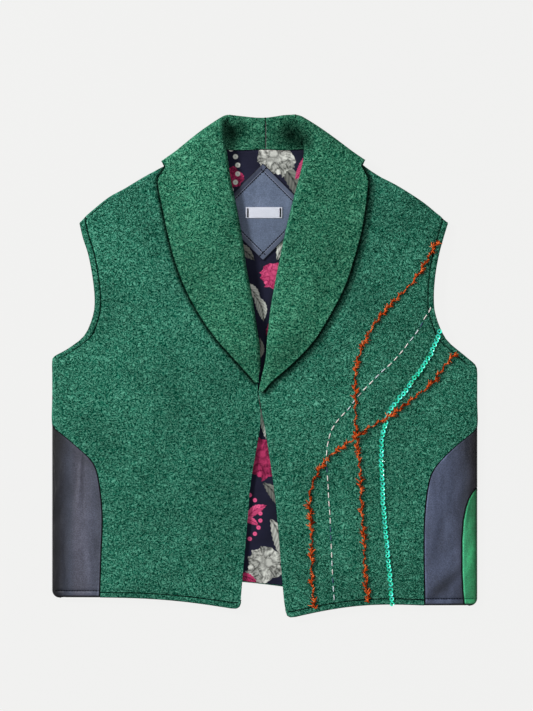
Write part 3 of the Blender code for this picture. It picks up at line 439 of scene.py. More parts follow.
def curve_at(rows, place):
    """The row of values at a place counted in rows, on the smooth curve through a table."""
    last = len(rows) - 1
    index = min(int(place), last - 1)
    picked = [rows[max(0, min(last, index + shift))] for shift in (-1, 0, 1, 2)]
    part = place - index
    return [curve_value(*values, part) for values in zip(*picked)]


def row_at(rows, place, straight):
    """A row between the rows of a table. The values named in straight change evenly."""
    index = min(int(place), len(rows) - 2)
    part = place - index
    flags = {
        name: mix(getattr(rows[index], name), getattr(rows[index + 1], name), part)
        for name in straight
    }
    return type(rows[0])(*curve_at(rows, place))._replace(**flags)


def line_at(table, x):
    """Height, at a distance across, of the smooth curve through a table."""
    x = min(max(x, table[0].x), table[-1].x)
    for index, (start, end) in enumerate(zip(table, table[1:])):
        if x <= end.x:
            part = (x - start.x) / (end.x - start.x)
            return curve_at(table, index + part)[1]
    return table[-1].y


def outline_of(places, step):
    """Places about one step apart on the smooth curve through a table."""
    made = [places[0]]
    for index, (start, end) in enumerate(zip(places, places[1:])):
        count = max(1, round(math.hypot(end.x - start.x, end.y - start.y) / step))
        made += [Place(*curve_at(places, index + part / count)) for part in range(1, count + 1)]
    return made


# Heights of the layers


def lift(x, y):
    """How far the collar's fall, folded beneath, raises the cloth that lies on it."""
    full = FALL_Y + FALL_RISE * ((x + 2.0) / FALL_HALF) ** 2
    return LIFT * ease((y - full + LIFT_EASE) / LIFT_EASE)


def loft(x, y):
    """How far the soft fronts stand above the lining, with their broad folds."""
    side = ease((SIDE_X - abs(x)) / LOFT_EASE)
    shoulder_y = SHOULDER_Y - SHOULDER_SLOPE * max(0.0, abs(x) - SHOULDER_X)
    shoulder = ease((shoulder_y - y) / LOFT_EASE)
    hem = mix(HEM_LOFT, 1.0, ease((y - HEM_LOFT_Y) / LOFT_EASE))
    edge = mix(EDGE_LOFT, 1.0, ease((abs(x) - EDGE_LOFT_X) / LOFT_EASE))
    folds = 0.0
    for fold in SOFT_FOLDS:
        turn = math.radians(fold.degrees)
        along = (x - fold.x) * math.cos(turn) + (y - fold.y) * math.sin(turn)
        across = (y - fold.y) * math.cos(turn) - (x - fold.x) * math.sin(turn)
        shape = (along / fold.half_length) ** 2 + (across / fold.half_width) ** 2
        folds += fold.height * math.exp(-shape)
    return max(0.0, LOFT * hem * edge + folds) * side * shoulder


def front_top(x, y):
    return FRONT_TOP + lift(x, y) + loft(x, y)


# Rows of a front, shared by the back, the lining and the leather


def row_places():
    """Places, counted in table rows, of every row across the panels."""
    places = [groove.distance / HEM_STEP for groove in MARGIN] + [0.86, 1.0]
    tables = [FRONT_ROWS[RIGHT], FRONT_ROWS[LEFT]]
    for index in range(1, len(tables[0]) - 1):
        longest = 0.0
        for table in tables:
            start, end = table[index], table[index + 1]
            longest = max(
                longest,
                math.hypot(end.edge_x - start.edge_x, end.edge_y - start.edge_y),
                math.hypot(end.side_x - start.side_x, end.side_y - start.side_y),
            )
        count = max(1, round(longest / ROW_STEP))
        places += [index + part / count for part in range(1, count + 1)]
    return sorted(set(places))


def front_row(side, place):
    """A FrontRow between the rows of the table, with its flags taken in a straight line."""
    return row_at(FRONT_ROWS[side], place, ("arch", "fold", "stitched"))


def fold_outline(fold, radius, steps):
    """Steps round the quarter fold at a row's end: outward, and towards the other layer.

    The last step runs straight on, so that the edges of the two layers meet square.
    """
    made = []
    for count in range(1, steps + 1):
        part = count / steps
        turn = part * math.pi / 2
        made.append((radius * mix(part, math.sin(turn), fold), radius * (1 - math.cos(turn)) * fold))
    made.append((radius + FOLD_END * (1 - fold), (radius + FOLD_END) * fold))
    return made


def fold_reach(fold, radius, wall):
    """Distance from the visible edge of a row in to where its fold begins."""
    return radius + FOLD_END * (1 - fold) + fold * wall / 2


def even(start, end, count):
    """Distances between two others, without them."""
    return [mix(start, end, part / (count + 1)) for part in range(1, count + 1)]


def margin_relief(distance):
    """Height of a stitched margin at a distance from its edge."""
    for start, end in zip(MARGIN, MARGIN[1:]):
        if distance < end.distance:
            part = (distance - start.distance) / (end.distance - start.distance)
            return mix(start.height, end.height, part)
    return 0.0


def corner_rise(distance, height):
    """Rounds the lower corner of a front: how far the hem rises near the front edge."""
    if distance >= CORNER or height >= 2 * CORNER:
        return 0.0
    reach = CORNER - distance
    return (CORNER - math.sqrt(CORNER**2 - reach**2)) * (1 - height / (2 * CORNER))


def margin_slant(side, place):
    """How much longer a margin is, measured along a row that meets the armhole aslant."""
    table = FRONT_ROWS[side]
    low = front_row(side, max(0.0, place - 0.05))
    high = front_row(side, min(len(table) - 1.0, place + 0.05))
    row = front_row(side, place)
    edge = Vector((high.side_x - low.side_x, high.side_y - low.side_y)).normalized()
    run = Vector((row.side_x - row.edge_x, row.side_y - row.edge_y)).normalized()
    square = abs(run.x * edge.y - run.y * edge.x)
    return mix(1.0, 1 / max(0.6, square), row.stitched)


def fold_over(rows, weights):
    """Turns the last row of flat places into the rows of a fold over the shoulder.

    A weight of 1 folds a place over, and 0 leaves it flat. Places are (x, y, drop).
    """
    outline = rows.pop()
    last = len(outline) - 1
    folded = [[] for _ in range(FOLD_STEPS + 2)]
    for index, (x, y, drop) in enumerate(outline):
        before, after = outline[max(0, index - 1)], outline[min(last, index + 1)]
        run = Vector((after[0] - before[0], after[1] - before[1])).normalized()
        normal = Vector((-run.y, run.x)) if run.x > 0 else Vector((run.y, -run.x))
        weight = weights[index]
        base = Vector((x, y)) - normal * fold_reach(weight, FOLD_RADIUS, WOOL)
        folded[0].append((base.x, base.y, drop))
        steps = fold_outline(weight, FOLD_RADIUS, FOLD_STEPS)
        for row, (outward, towards) in zip(folded[1:], steps):
            place = base + normal * outward
            row.append((place.x, place.y, drop + towards))
    return rows + folded


def arch(side, row, part):
    """How far a row bows up from its straight line, to follow the hem and the shoulder's outline."""
    height = row.edge_y - FRONT_ROWS[side][0].edge_y
    hem = HEM_BOW[side] * math.sin(math.pi * part) * ease(1 - height / HEM_BOW_TALL)
    table = SHOULDER[side]
    x = mix(table[0].x, table[-1].x, part)
    return hem + row.arch * (line_at(table, x) - mix(table[0].y, table[-1].y, part))


def front_points(side):
    """Middle points of one front, and how far each lies from the stitched edges."""
    rows, reliefs, marks = [], [], []
    hem = front_row(side, 0)
    for place in row_places():
        row = front_row(side, place)
        start, end = Vector((row.edge_x, row.edge_y)), Vector((row.side_x, row.side_y))
        length = (end - start).length
        run = (end - start) / length
        slant = margin_slant(side, place)
        base = length - fold_reach(row.fold, FOLD_RADIUS, WOOL)
        inner = length - SIDE_MARGIN[-1] * slant
        distances = [part * inner for part in FRONT_PARTS]
        distances += [length - distance * slant for distance in reversed(SIDE_MARGIN)] + [base]
        height = row.edge_y - hem.edge_y
        flat = []
        for distance in distances:
            spot = start + run * distance
            rise = corner_rise(distance, height) + arch(side, row, distance / length)
            flat.append((side * spot.x, spot.y + rise, 0.0))
        for outward, towards in fold_outline(row.fold, FOLD_RADIUS, FOLD_STEPS):
            spot = start + run * (base + outward)
            flat.append((side * spot.x, spot.y + arch(side, row, (base + outward) / length), towards))
            distances.append(base + outward)
        margins = [((length - distance) / slant, max(0.0, height)) for distance in distances]
        reliefs.append([row.stitched * margin_relief(edge) + margin_relief(hem) for edge, hem in margins])
        marks.append([(min(mix(FAR, edge, row.stitched), hem), hem) for edge, hem in margins])
        rows.append(flat)
    rows = fold_over(rows, [1.0] * len(rows[-1]))
    reliefs += [[0.0] * len(rows[0])] * (FOLD_STEPS + 1)
    marks += [marks[-1]] * (FOLD_STEPS + 1)
    points = [
        [
            (x, y, FRONT_MID + lift(x, y) + loft(x, y) + rise - drop)
            for (x, y, drop), rise in zip(row, relief)
        ]
        for row, relief in zip(rows, reliefs)
    ]
    # The second mark also holds how far a point lies out from the collar's edge, for the painted shade
    # beside the collar
    edge_line = collar_edge(side)
    marks = [
        [
            (edge, min(hem + 0.9, PAINTED_SHADE_SHARE * (outside(edge_line, Vector(point[:2]), side) - 0.6)))
            for (edge, hem), point in zip(mark_row, row)
        ]
        for mark_row, row in zip(marks, points)
    ]
    return points, marks


def back_parts():
    """Parts of a row of the back, with the places of the fronts' columns at the shoulders."""
    neck = SHOULDER[LEFT][0].x / SHOULDER[LEFT][-1].x
    half = list(NECK_PARTS) + [mix(neck, 1.0, part) for part in FRONT_PARTS[::2]]
    return [-part for part in reversed(half[1:])] + half


def top_outline(x):
    """The back's upper outline: its shoulders and neckline."""
    side = LEFT if x > 0 else RIGHT
    distance = abs(x)
    if distance >= SHOULDER[side][0].x:
        return line_at(SHOULDER[side], distance)
    return line_at(NECKLINE[side], distance)


def back_row(place, ends_of):
    """The ends of one row across the back, and how it bows between them."""
    ends, rows = {}, {}
    for side in (RIGHT, LEFT):
        row = front_row(side, place)
        rows[side] = row
        x, y = ends_of(row)
        ends[side] = Vector((side * x, y))
    middle = (rows[RIGHT].edge_y + rows[LEFT].edge_y) / 2
    low = (FRONT_ROWS[RIGHT][0].edge_y + FRONT_ROWS[LEFT][0].edge_y) / 2
    high = FRONT_ROWS[LEFT][-1].edge_y
    reach = (middle - low) / (high - low)
    centre = mix(BACK_HEM_Y, NECKLINE[LEFT][0].y, reach)
    return ends, rows, centre, reach


def back_line(ends, rows, centre, reach):
    """A function that gives the place at a part, -1 to 1, of a row across the back."""
    top_ends = {side: SHOULDER[side][-1] for side in (RIGHT, LEFT)}
    top_middle = (top_ends[RIGHT].y + top_ends[LEFT].y) / 2
    top_centre = NECKLINE[LEFT][0].y

    def spot(part):
        share = (part + 1) / 2
        x = mix(ends[RIGHT].x, ends[LEFT].x, share)
        straight = mix(ends[RIGHT].y, ends[LEFT].y, share)
        bow = 1 - part * part
        top_x = mix(-top_ends[RIGHT].x, top_ends[LEFT].x, share)
        top_straight = mix(top_ends[RIGHT].y, top_ends[LEFT].y, share)
        top_bow = (top_outline(top_x) - top_straight) / (top_centre - top_middle)
        slant = BACK_HEM_SLANT * x * bow * (1 - ease(3 * reach))
        rise = (centre - (ends[RIGHT].y + ends[LEFT].y) / 2) * mix(bow, top_bow, rows[LEFT].arch)
        return Vector((x, straight + rise + slant))

    return spot


def wool_ends(row):
    return row.side_x - BACK_INSET * row.stitched, row.side_y


def lining_ends(row):
    """The lining runs on under the leather, to just inside the fold."""
    if row.side_y < FRONT_ROWS[LEFT][8].side_y and row.stitched == 0:
        corner = CORNER * max(0.0, 1 - (row.side_y - FRONT_ROWS[RIGHT][0].side_y) / (2 * CORNER))
        return SIDE_X - LINING_INSET - min(CORNER, corner), row.side_y
    return row.side_x - LINING_INSET - BACK_INSET * row.stitched, row.side_y


def back_points():
    """Middle points of the back."""
    flat_rows = []
    parts = back_parts()
    for place in row_places():
        ends, rows, centre, reach = back_row(place, wool_ends)
        spot = back_line(ends, rows, centre, reach)
        half = (ends[LEFT].x - ends[RIGHT].x) / 2
        flat = [(*spot(part), 0.0) for part in parts]
        for side, add in ((RIGHT, lambda item: flat.insert(0, item)), (LEFT, flat.append)):
            fold = rows[side].fold
            base = half - fold_reach(fold, FOLD_RADIUS, WOOL)
            add((*spot(side * base / half), 0.0))
            for outward, towards in fold_outline(fold, FOLD_RADIUS, FOLD_STEPS):
                add((*spot(side * (base + outward) / half), towards))
        flat_rows.append(flat)
    weights = [float(abs(x) > NECK_END) for x, _, _ in flat_rows[-1]]
    return [
        [(x, y, BACK_MID + lift(x, y) + towards) for x, y, towards in row]
        for row in fold_over(flat_rows, weights)
    ]


def lining_points():
    """Middle points of the lining of the back."""
    made = []
    places = row_places()
    for place in places:
        ends, rows, centre, reach = back_row(place, lining_ends)
        spot = back_line(ends, rows, centre, reach)
        line = []
        for part in (-1.0, *back_parts(), 1.0):
            x, y = spot(part)
            top_inset = LINING_SHOULDER_INSET if abs(x) > LINING_NECK_HALF else LINING_NECK_GAP
            y += LINING_HEM_INSET * max(0.0, 1 - place) - top_inset * max(0.0, place - places[-1] + 1)
            line.append((x, y, LINING_MID + lift(x, y) + lining_creases(x, y)))
        made.append(line)
    return made


def lining_creases(x, y):
    """Small soft creases of the lining."""
    return 0.12 * math.sin(0.11 * x + 0.05 * y) + 0.1 * math.sin(0.07 * y - 0.16 * x + 1.0)


# Leather at the sides


def seam_stations(side):
    """The leather seam of one side, from the hem up to its point at the side fold."""
    last = next(i for i, row in enumerate(FRONT_ROWS[side]) if row.fold)
    rows = [front_row(side, place) for place in row_places() if place <= last]
    return [Place(row.side_x, row.side_y) for row in rows]


def seam_x(stations, y):
    for start, end in zip(stations, stations[1:]):
        if y <= end.y:
            return mix(start.x, end.x, max(0.0, (y - start.y) / (end.y - start.y)))
    return stations[-1].x


def side_x(hem_y, y):
    """The side's outline, with its lower corner rounded."""
    reach = CORNER - (y - hem_y)
    if reach <= 0:
        return SIDE_X
    return SIDE_X - CORNER + math.sqrt(max(0.0, CORNER**2 - reach**2))


def leather_rows(side, extra=()):
    """Heights of the rows of the leather, the seam's stations there, and the height of the hem."""
    stations = seam_stations(side)
    hem_y = stations[0].y
    rows = {station.y for station in stations[:-1]} | {hem_y + groove.distance for groove in MARGIN}
    rows |= {mix(stations[-2].y, stations[-1].y, part) for part in TIP_PARTS} | set(extra)
    kept = []
    for y in sorted(rows):
        if not kept or y - kept[-1] > 0.5:
            kept.append(y)
    return kept, stations, hem_y


def ways_along(points):
    """How far each point of a line lies along it from its start."""
    ways = [0.0]
    for before, after in zip(points, points[1:]):
        ways.append(ways[-1] + math.dist(before, after))
    return ways


def columns_across(start, base):
    """Distances across a row of leather, closer together beside its seam."""
    near = [min(start + near, mix(start, base, share)) for near, share in NEAR_SEAM]
    return [start, *near, *even(near[-1], base, LEATHER_COLUMNS)]


def past_seam(row, side, start):
    """A row of the leather with what lies inside the seam cut away, in as many points."""
    inside = [side * x < start for x, _, _ in row]
    first, last = inside.index(False), len(row) - inside[::-1].index(False)
    kept = [Vector(point) for point in row[first:last]]
    for index, beside, place in ((first - 1, first, 0), (last, last - 1, len(kept) + 1)):
        if 0 <= index < len(row):
            out, held = Vector(row[index]), Vector(row[beside])
            kept.insert(place, out.lerp(held, (side * start - out.x) / (held.x - out.x)))
    ways = ways_along(kept)
    made = []
    for count in range(len(row)):
        way = ways[-1] * count / (len(row) - 1)
        index = next(i for i in range(len(kept) - 1) if way <= ways[i + 1] + 1e-6)
        part = (way - ways[index]) / (ways[index + 1] - ways[index])
        made.append(kept[index].lerp(kept[index + 1], part))
    return [tuple(point) for point in made]


def leather_relief(seam_distance, height):
    """The turned hem with its puckers, and the turned edge along the seam."""
    seam = 0.35 * math.exp(-(((seam_distance - 3.0) / 2.2) ** 2)) - 0.5 * math.exp(-seam_distance / 0.6)
    return seam + 0.8 * margin_relief(max(0.0, height))


def leather_front_mid(x, y):
    return LEATHER_FRONT_MID + loft(x, y)


def wrapped_points(side, rows, inner, hem_y):
    """Middle points of leather that runs from a front seam, round the side, to a back seam."""
    middle = (LEATHER_FRONT_MID + LEATHER_BACK_MID) / 2
    radius = (LEATHER_FRONT_MID - LEATHER_BACK_MID) / 2
    made = []
    for y in rows:
        seam = inner(y) + LEATHER_SEAM_GAP
        base = side_x(hem_y, y) - radius - LEATHER / 2
        start = min(seam, base - LEATHER)
        flat = columns_across(start, base)
        row = [
            (side * x, y, leather_front_mid(x, y) + leather_relief(x - start, y - hem_y)) for x in flat
        ]
        for count in range(2 * LEATHER_FOLD_STEPS + 1):
            turn = math.pi * count / (2 * LEATHER_FOLD_STEPS)
            row.append((side * (base + radius * math.sin(turn)), y, middle + radius * math.cos(turn)))
        row += [(side * x, y, LEATHER_BACK_MID) for x in reversed(flat)]
        made.append(past_seam(row, side, seam) if seam > start else row)
    return made


def strip_points(side, rows, inner, outer, hem_y, front):
    """Middle points of a leather strip on the front or the back, with its outer edge on the
    seam of the green leather, or above it in the side fold."""
    radius = (LEATHER_FRONT_MID - LEATHER_BACK_MID - FOLD_GAP) / 2 - FOLD_END
    towards = -1 if front else 1
    made = []
    for y in rows:
        seam = inner(y) + LEATHER_SEAM_GAP
        fold = min(1.0, max(0.0, (y - GREEN_TOP) / FOLD_RUN))
        edge = side_x(hem_y, y) if fold else outer(y) - LEATHER_SEAM_GAP
        base = edge - fold_reach(fold, radius, LEATHER)
        start = min(seam, base - LEATHER)
        flat = [(x, 0.0) for x in (*columns_across(start, base), base)]
        flat += [
            (base + outward, drop) for outward, drop in fold_outline(fold, radius, LEATHER_FOLD_STEPS)
        ]
        row = []
        for x, drop in flat:
            level = LEATHER_BACK_MID
            if front:
                level = leather_front_mid(x, y) + leather_relief(x - start, y - hem_y)
            row.append((side * x, y, level + towards * drop))
        made.append(past_seam(row, side, seam) if seam > start else row)
    return made


# Collar


def neck_line(side):
    """The neck seam of one side, from the closing up to the shoulder and round to the back."""
    places = [place for place in row_places() if place >= NECK_START]
    line = [Vector((side * row.edge_x, row.edge_y)) for row in (front_row(side, p) for p in places)]
    neckline = outline_of(NECKLINE[side], 8.0)
    line += [Vector((side * spot.x, spot.y)) for spot in reversed(neckline[:-1])]
    line.append(Vector((-side * 20.0, line[-1].y)))
    return line


def distance_to(line, start, run):
    """Distance from a place, in a direction, to a line of points. None where it misses."""
    nearest = None
    for begin, end in zip(line, line[1:]):
        edge = end - begin
        cross = run.x * edge.y - run.y * edge.x
        if abs(cross) < 1e-9:
            continue
        gap = begin - start
        distance = (gap.x * edge.y - gap.y * edge.x) / cross
        part = (gap.x * run.y - gap.y * run.x) / cross
        if 0 <= part <= 1 and distance > 0 and (nearest is None or distance < nearest):
            nearest = distance
    return nearest


def collar_stations(side):
    table = COLLAR_ROWS[side]
    places = [0.0]
    for index, (start, end) in enumerate(zip(table, table[1:])):
        length = max(
            math.hypot(end.roll_x - start.roll_x, end.roll_y - start.roll_y),
            math.hypot(end.outer_x - start.outer_x, end.outer_y - start.outer_y),
        )
        count = max(1, round(length / COLLAR_STEP), round((end.angle - start.angle) / COLLAR_TURN))
        places += [index + part / count for part in range(1, count + 1)]
    return [row_at(table, place, ("angle", "roll", "under")) for place in places]


def collar_edge(side):
    """The outer edge of the collar, where it lies on the front."""
    return [Vector((row.outer_x, row.outer_y)) for row in collar_stations(side) if row.angle < 20]


def outside(line, spot, side):
    """Distance from the collar's edge out over the front, less than 0 under the collar."""
    nearest = None
    for begin, end in zip(line, line[1:]):
        edge = end - begin
        part = (spot - begin).dot(edge) / edge.length_squared
        gap = spot - begin - edge * min(1.0, max(0.0, part))
        way = -1 if part > 0 and (edge.x * gap.y - edge.y * gap.x) * side > 0 else 1
        if nearest is None or gap.length < abs(nearest):
            nearest = gap.length * way
    return nearest


def collar_ripple(x, y):
    """Soft unevenness of the collar's leaf."""
    return 0.35 * math.sin(0.047 * x + 0.061 * y) + 0.3 * math.sin(0.083 * x - 0.035 * y + 2.0)


def collar_section(side, row, seam):
    """Middle points across the collar at one station, from its outer edge over the roll to the
    neck seam."""
    roll, outer = Vector((row.roll_x, row.roll_y)), Vector((row.outer_x, row.outer_y))
    width = (outer - roll).length
    run = (outer - roll) / width
    outward = Vector((run.y, -run.x)) * -side
    angle = math.radians(row.angle)
    round_back = (1 - math.cos(angle)) / 2
    axis_z = COLLAR_AXIS
    fullness = ease(row.roll)

    def leaf_level(distance):
        spot = roll + run * distance
        front = front_top(*spot) + LAYER_GAP + COLLAR / 2 - axis_z
        front += fullness * collar_ripple(*spot) * (1 - round_back) * ease((width - distance) / 20)
        return mix(front, axis_z - COLLAR / 2, round_back)

    under = roll + run * (ROLL_RADIUS + COLLAR / 2)
    stand = mix(STAND_MID + lift(*under) - axis_z, axis_z - COLLAR / 2 - 2 * ROLL_RADIUS, round_back)
    roll_top = mix(leaf_level(0.0), stand + 2 * ROLL_RADIUS, fullness)
    radius = mix(min(0.2 * width, ROLL_RADIUS), ROLL_RADIUS, fullness)
    centre = mix(0.25 * width, ROLL_RADIUS + COLLAR / 2, fullness)
    sweep = math.radians(mix(TIP_SWEEP, 180.0, row.under))

    section = []
    for part in LEAF_PARTS:
        distance = mix(centre, width, part)
        level = leaf_level(distance)
        crown = (1 + math.cos(math.pi * part)) / 2
        swell = SWELL * math.sin(math.pi * min(1.0, part * 1.25)) * (1 - round_back) * fullness
        section.append((distance, mix(level, roll_top, crown) + swell))
    for count in range(ROLL_STEPS + 1):
        turn = sweep * count / ROLL_STEPS
        section.append((centre - radius * math.sin(turn), roll_top - radius * (1 - math.cos(turn))))
    low = roll_top - radius * (1 - math.cos(sweep))
    reach = distance_to(seam, roll, run) if row.under > 0.9 else None
    if reach is None:
        tail = Vector((math.cos(sweep), math.sin(sweep))) * STUB
        end, low_end = centre - radius * math.sin(sweep) - tail.x, low - tail.y
    else:
        end, low_end = max(centre + STUB, reach - NECK_GAP), low
    start = centre - radius * math.sin(sweep)
    for part in STAND_PARTS:
        section.append((mix(start, end, part), mix(low, low_end, part)))

    up = math.cos(angle)
    side_way = math.sin(angle)
    made = []
    for distance, level in section:
        spot = roll + run * distance + outward * (side_way * level)
        made.append((spot.x, spot.y, axis_z + up * level))
    return made


def collar_points(side):
    seam = neck_line(side)
    return [collar_section(side, row, seam) for row in collar_stations(side)]


def patch_points(height):
    """Middle points of the square patch, which stands on its corner."""
    made = []
    for row in range(PATCH_CELLS + 1):
        line = []
        for column in range(PATCH_CELLS + 1):
            along = (column / PATCH_CELLS - 0.5) * PATCH_SIDE
            over = (row / PATCH_CELLS - 0.5) * PATCH_SIDE
            x = PATCH_X + (along - over) * math.sqrt(0.5)
            y = PATCH_Y + (along + over) * math.sqrt(0.5)
            relief = 0.0
            for edge in (PATCH_SIDE / 2 - abs(along), PATCH_SIDE / 2 - abs(over)):
                relief -= 0.35 * math.exp(-(((edge - PATCH_STITCH_IN) / 1.0) ** 2))
                relief -= 0.3 * math.exp(-edge / 1.2)
            line.append((x, y, height(x, y) + 0.4 + PATCH / 2 + relief))
        made.append(line)
    return made


def patch_marks():
    """Distances of the patch's points from its edges, and a mark on the upper edge, darker with painted
    shade.
    """
    made = []
    for row in range(PATCH_CELLS + 1):
        line = []
        for column in range(PATCH_CELLS + 1):
            edges = [PATCH_SIDE * min(part, PATCH_CELLS - part) / PATCH_CELLS for part in (row, column)]
            upper = edges[0] < edges[1] and row > PATCH_CELLS / 2
            line.append((min(edges), 1 / MM if upper else 0.0))
        made.append(line)
    return made


def label_points(height):
    made = []
    for row in range(5):
        y = LABEL_Y + LABEL_WIDE * (row / 4 - 0.5)
        places = [LABEL_X + LABEL_LONG * (part / 16 - 0.5) for part in range(17)]
        made.append([(x, y, height(x, y) + 0.3 + LABEL / 2) for x in places])
    return made


# Finishes


class Varying:
    """A value that changes over a surface. Sums with it add nodes to its material."""

    def __init__(self, tree, socket):
        self.tree, self.socket = tree, socket

    def __add__(self, other):
        return maths("ADD", self, other)

    def __sub__(self, other):
        return maths("SUBTRACT", self, other)

    def __rsub__(self, other):
        return maths("SUBTRACT", other, self)

    def __mul__(self, other):
        return maths("MULTIPLY", self, other)

    def __truediv__(self, other):
        return maths("DIVIDE", self, other)

    def __rtruediv__(self, other):
        return maths("DIVIDE", other, self)

    def __abs__(self):
        return maths("ABSOLUTE", self)

    __radd__, __rmul__ = __add__, __mul__


def shade(red, green, blue):
    """A colour given as screen values from 0 to 255."""
    values = [part / 255 for part in (red, green, blue)]
    return tuple(v / 12.92 if v <= 0.04045 else ((v + 0.055) / 1.055) ** 2.4 for v in values) + (1.0,)


def feed(tree, made, inputs):
    """Sets a node's inputs, each to a number, a colour or a varying value."""
    for name, value in inputs.items():
        if isinstance(value, Varying):
            tree.links.new(value.socket, made.inputs[name])
        else:
            made.inputs[name].default_value = value


def node(tree, kind, inputs, output=0, **settings):
    """Adds a node and gives one of its outputs, or all of them."""
    made = tree.nodes.new(kind)
    for name, value in settings.items():
        setattr(made, name, value)
    feed(tree, made, inputs)
    if output is None:
        return [Varying(tree, socket) for socket in made.outputs]
    return Varying(tree, made.outputs[output])


def tree_of(values):
    return next(value.tree for value in values if isinstance(value, Varying))


def maths(operation, *values):
    return node(tree_of(values), "ShaderNodeMath", dict(enumerate(values)), operation=operation)


def vector(operation, *values, output=0):
    inputs = dict(enumerate(values))
    return node(tree_of(values), "ShaderNodeVectorMath", inputs, output, operation=operation)


def split(place):
    return node(place.tree, "ShaderNodeSeparateXYZ", {0: place}, None)


def flattened(place):
    """Coordinates without their height."""
    return vector("MULTIPLY", place, (1.0, 1.0, 0.0))


def mapped(place, location, degrees, scale, kind="POINT"):
    """Coordinates moved, turned and stretched."""
    turn = (0.0, 0.0, math.radians(degrees))
    inputs = {"Vector": place, "Location": location, "Rotation": turn, "Scale": scale}
    return node(place.tree, "ShaderNodeMapping", inputs, vector_type=kind)


def blend(factor, first, second, kind="MIX"):
    """Mixes two colours."""
    inputs = {0: factor, 6: first, 7: second}
    return node(tree_of(inputs.values()), "ShaderNodeMix", inputs, 2, data_type="RGBA", blend_type=kind)


def dim(colour, level):
    """A colour made lighter or darker."""
    grey = node(level.tree, "ShaderNodeCombineColor", {0: level, 1: level, 2: level})
    return blend(1.0, colour, grey, "MULTIPLY")


def noise(place, scale, detail=2.0, roughness=0.5, distortion=0.0, output="Fac"):
    inputs = {"Vector": place, "Scale": scale, "Detail": detail, "Roughness": roughness}
    inputs["Distortion"] = distortion
    return node(place.tree, "ShaderNodeTexNoise", inputs, output)


def cells(place, scale, output, feature):
    return node(
        place.tree, "ShaderNodeTexVoronoi", {"Vector": place, "Scale": scale}, output, feature=feature
    )


def weave(place, scale, distortion, bands="X"):
    inputs = {"Vector": place, "Scale": scale, "Distortion": distortion}
    return node(place.tree, "ShaderNodeTexWave", inputs, "Fac", bands_direction=bands)


def spread(value, low, high, to_low=0.0, to_high=1.0, ends="SMOOTHSTEP"):
    """Stretches a range of values to another one, with soft ends."""
    inputs = {"Value": value, "From Min": low, "From Max": high, "To Min": to_low, "To Max": to_high}
    return node(value.tree, "ShaderNodeMapRange", inputs, interpolation_type=ends)


def ramp(value, *stops):
    """Colours, given as screen values, at places along a range."""
    made = value.tree.nodes.new("ShaderNodeValToRGB")
    feed(value.tree, made, {"Fac": value})
    band = made.color_ramp.elements
    while len(band) < len(stops):
        band.new(0.5)
    for element, (position, tone) in zip(band, stops):
        element.position = position
        element.color = shade(*tone)
    return Varying(value.tree, made.outputs["Color"])


def group(name, inputs, outputs):
    """A shader group with named sockets. Gives its tree, its inputs and its output node."""
    tree = bpy.data.node_groups.new(name, "ShaderNodeTree")
    for socket, kind, value in inputs:
        made = tree.interface.new_socket(socket, in_out="INPUT", socket_type="NodeSocket" + kind)
        if value is not None:
            made.default_value = value
    for socket in outputs:
        tree.interface.new_socket(socket, in_out="OUTPUT", socket_type="NodeSocketFloat")
    given = node(tree, "NodeGroupInput", {}, None)[: len(inputs)]
    return tree, given, tree.nodes.new("NodeGroupOutput")


def put(grouped, inputs):
    """Places a group in a material."""
    return node(tree_of(inputs.values()), "ShaderNodeGroup", inputs, None, node_tree=grouped)


def surface(name):
    """A new material and its object coordinates."""
    made = bpy.data.materials.new(name)
    made.use_nodes = True
    return made, node(made.node_tree, "ShaderNodeTexCoord", {}, "Object")


def paint(made, colour, roughness, gloss, height=None, depth=0.0, strength=1.0, coat=0.0):
    """Sets a material's colour, gloss and relief."""
    tree = made.node_tree
    inputs = {"Base Color": colour, "Roughness": roughness, "Specular IOR Level": gloss}
    inputs["Coat Weight"] = coat
    if height:
        relief = {"Height": height, "Distance": depth, "Strength": strength}
        inputs["Normal"] = node(tree, "ShaderNodeBump", relief)
    feed(tree, tree.nodes["Principled BSDF"], inputs)
    return made


def felted_fibres():
    """Short fibres matted together: the strands that catch the light, and their height."""
    tree, (place,), out = group("felted fibres", [("Vector", "Vector", None)], ["Fleck", "Height"])
    wander = noise(place, 130.0, 1.0, output="Color")
    bent = vector("MULTIPLY_ADD", wander, (0.0075, 0.0075, 0.0075), place)
    lit = None
    for degrees, shift in ((28, 0.0), (74, 0.4), (121, 0.9), (163, 1.7)):
        turned = mapped(bent, (shift, shift, shift), degrees, (190.0, 760.0, 380.0))
        layer = spread(abs(noise(turned, 1.0, 1.0, 0.5, 0.3) - 0.5), 0.0, 0.11, 1.0, 0.0)
        lit = maths("MAXIMUM", lit * 0.82, layer) if lit else layer
    gaps = spread(noise(bent, 560.0, 2.0, 0.65), 0.3, 0.64)
    mixed = lit * 0.38 + gaps * 0.44 + noise(bent, 1000.0, 1.0) * 0.34
    feed(tree, out, {"Fleck": spread(mixed, 0.2, 0.94), "Height": mixed})
    return tree


def leather_grain():
    """Fine pebbled grain with soft wrinkles."""
    inputs = [("Vector", "Vector", None), ("Grain", "Float", 900.0)]
    tree, (place, size), out = group("leather grain", inputs, ["Pores", "Height", "Wear", "Creases"])
    pores = spread(cells(place, size, "Distance", "DISTANCE_TO_EDGE"), 0.0, 0.35)
    wrinkles = noise(mapped(place, (0, 0, 0), 24, (120.0, 60.0, 80.0)), 1.0, 4.0, 0.6, 0.8)
    pulled = noise(mapped(place, (0, 0, 0), -52, (46.0, 14.0, 20.0)), 1.0, 1.0, 0.4, 0.6)
    height = pores * 0.12 + wrinkles * 0.3 + pulled * 5.0
    creases = pulled * 0.6 + wrinkles * 0.4
    wear = noise(place, 26.0, 3.0, 0.6)
    feed(tree, out, {"Pores": pores, "Height": height, "Wear": wear, "Creases": creases})
    return tree


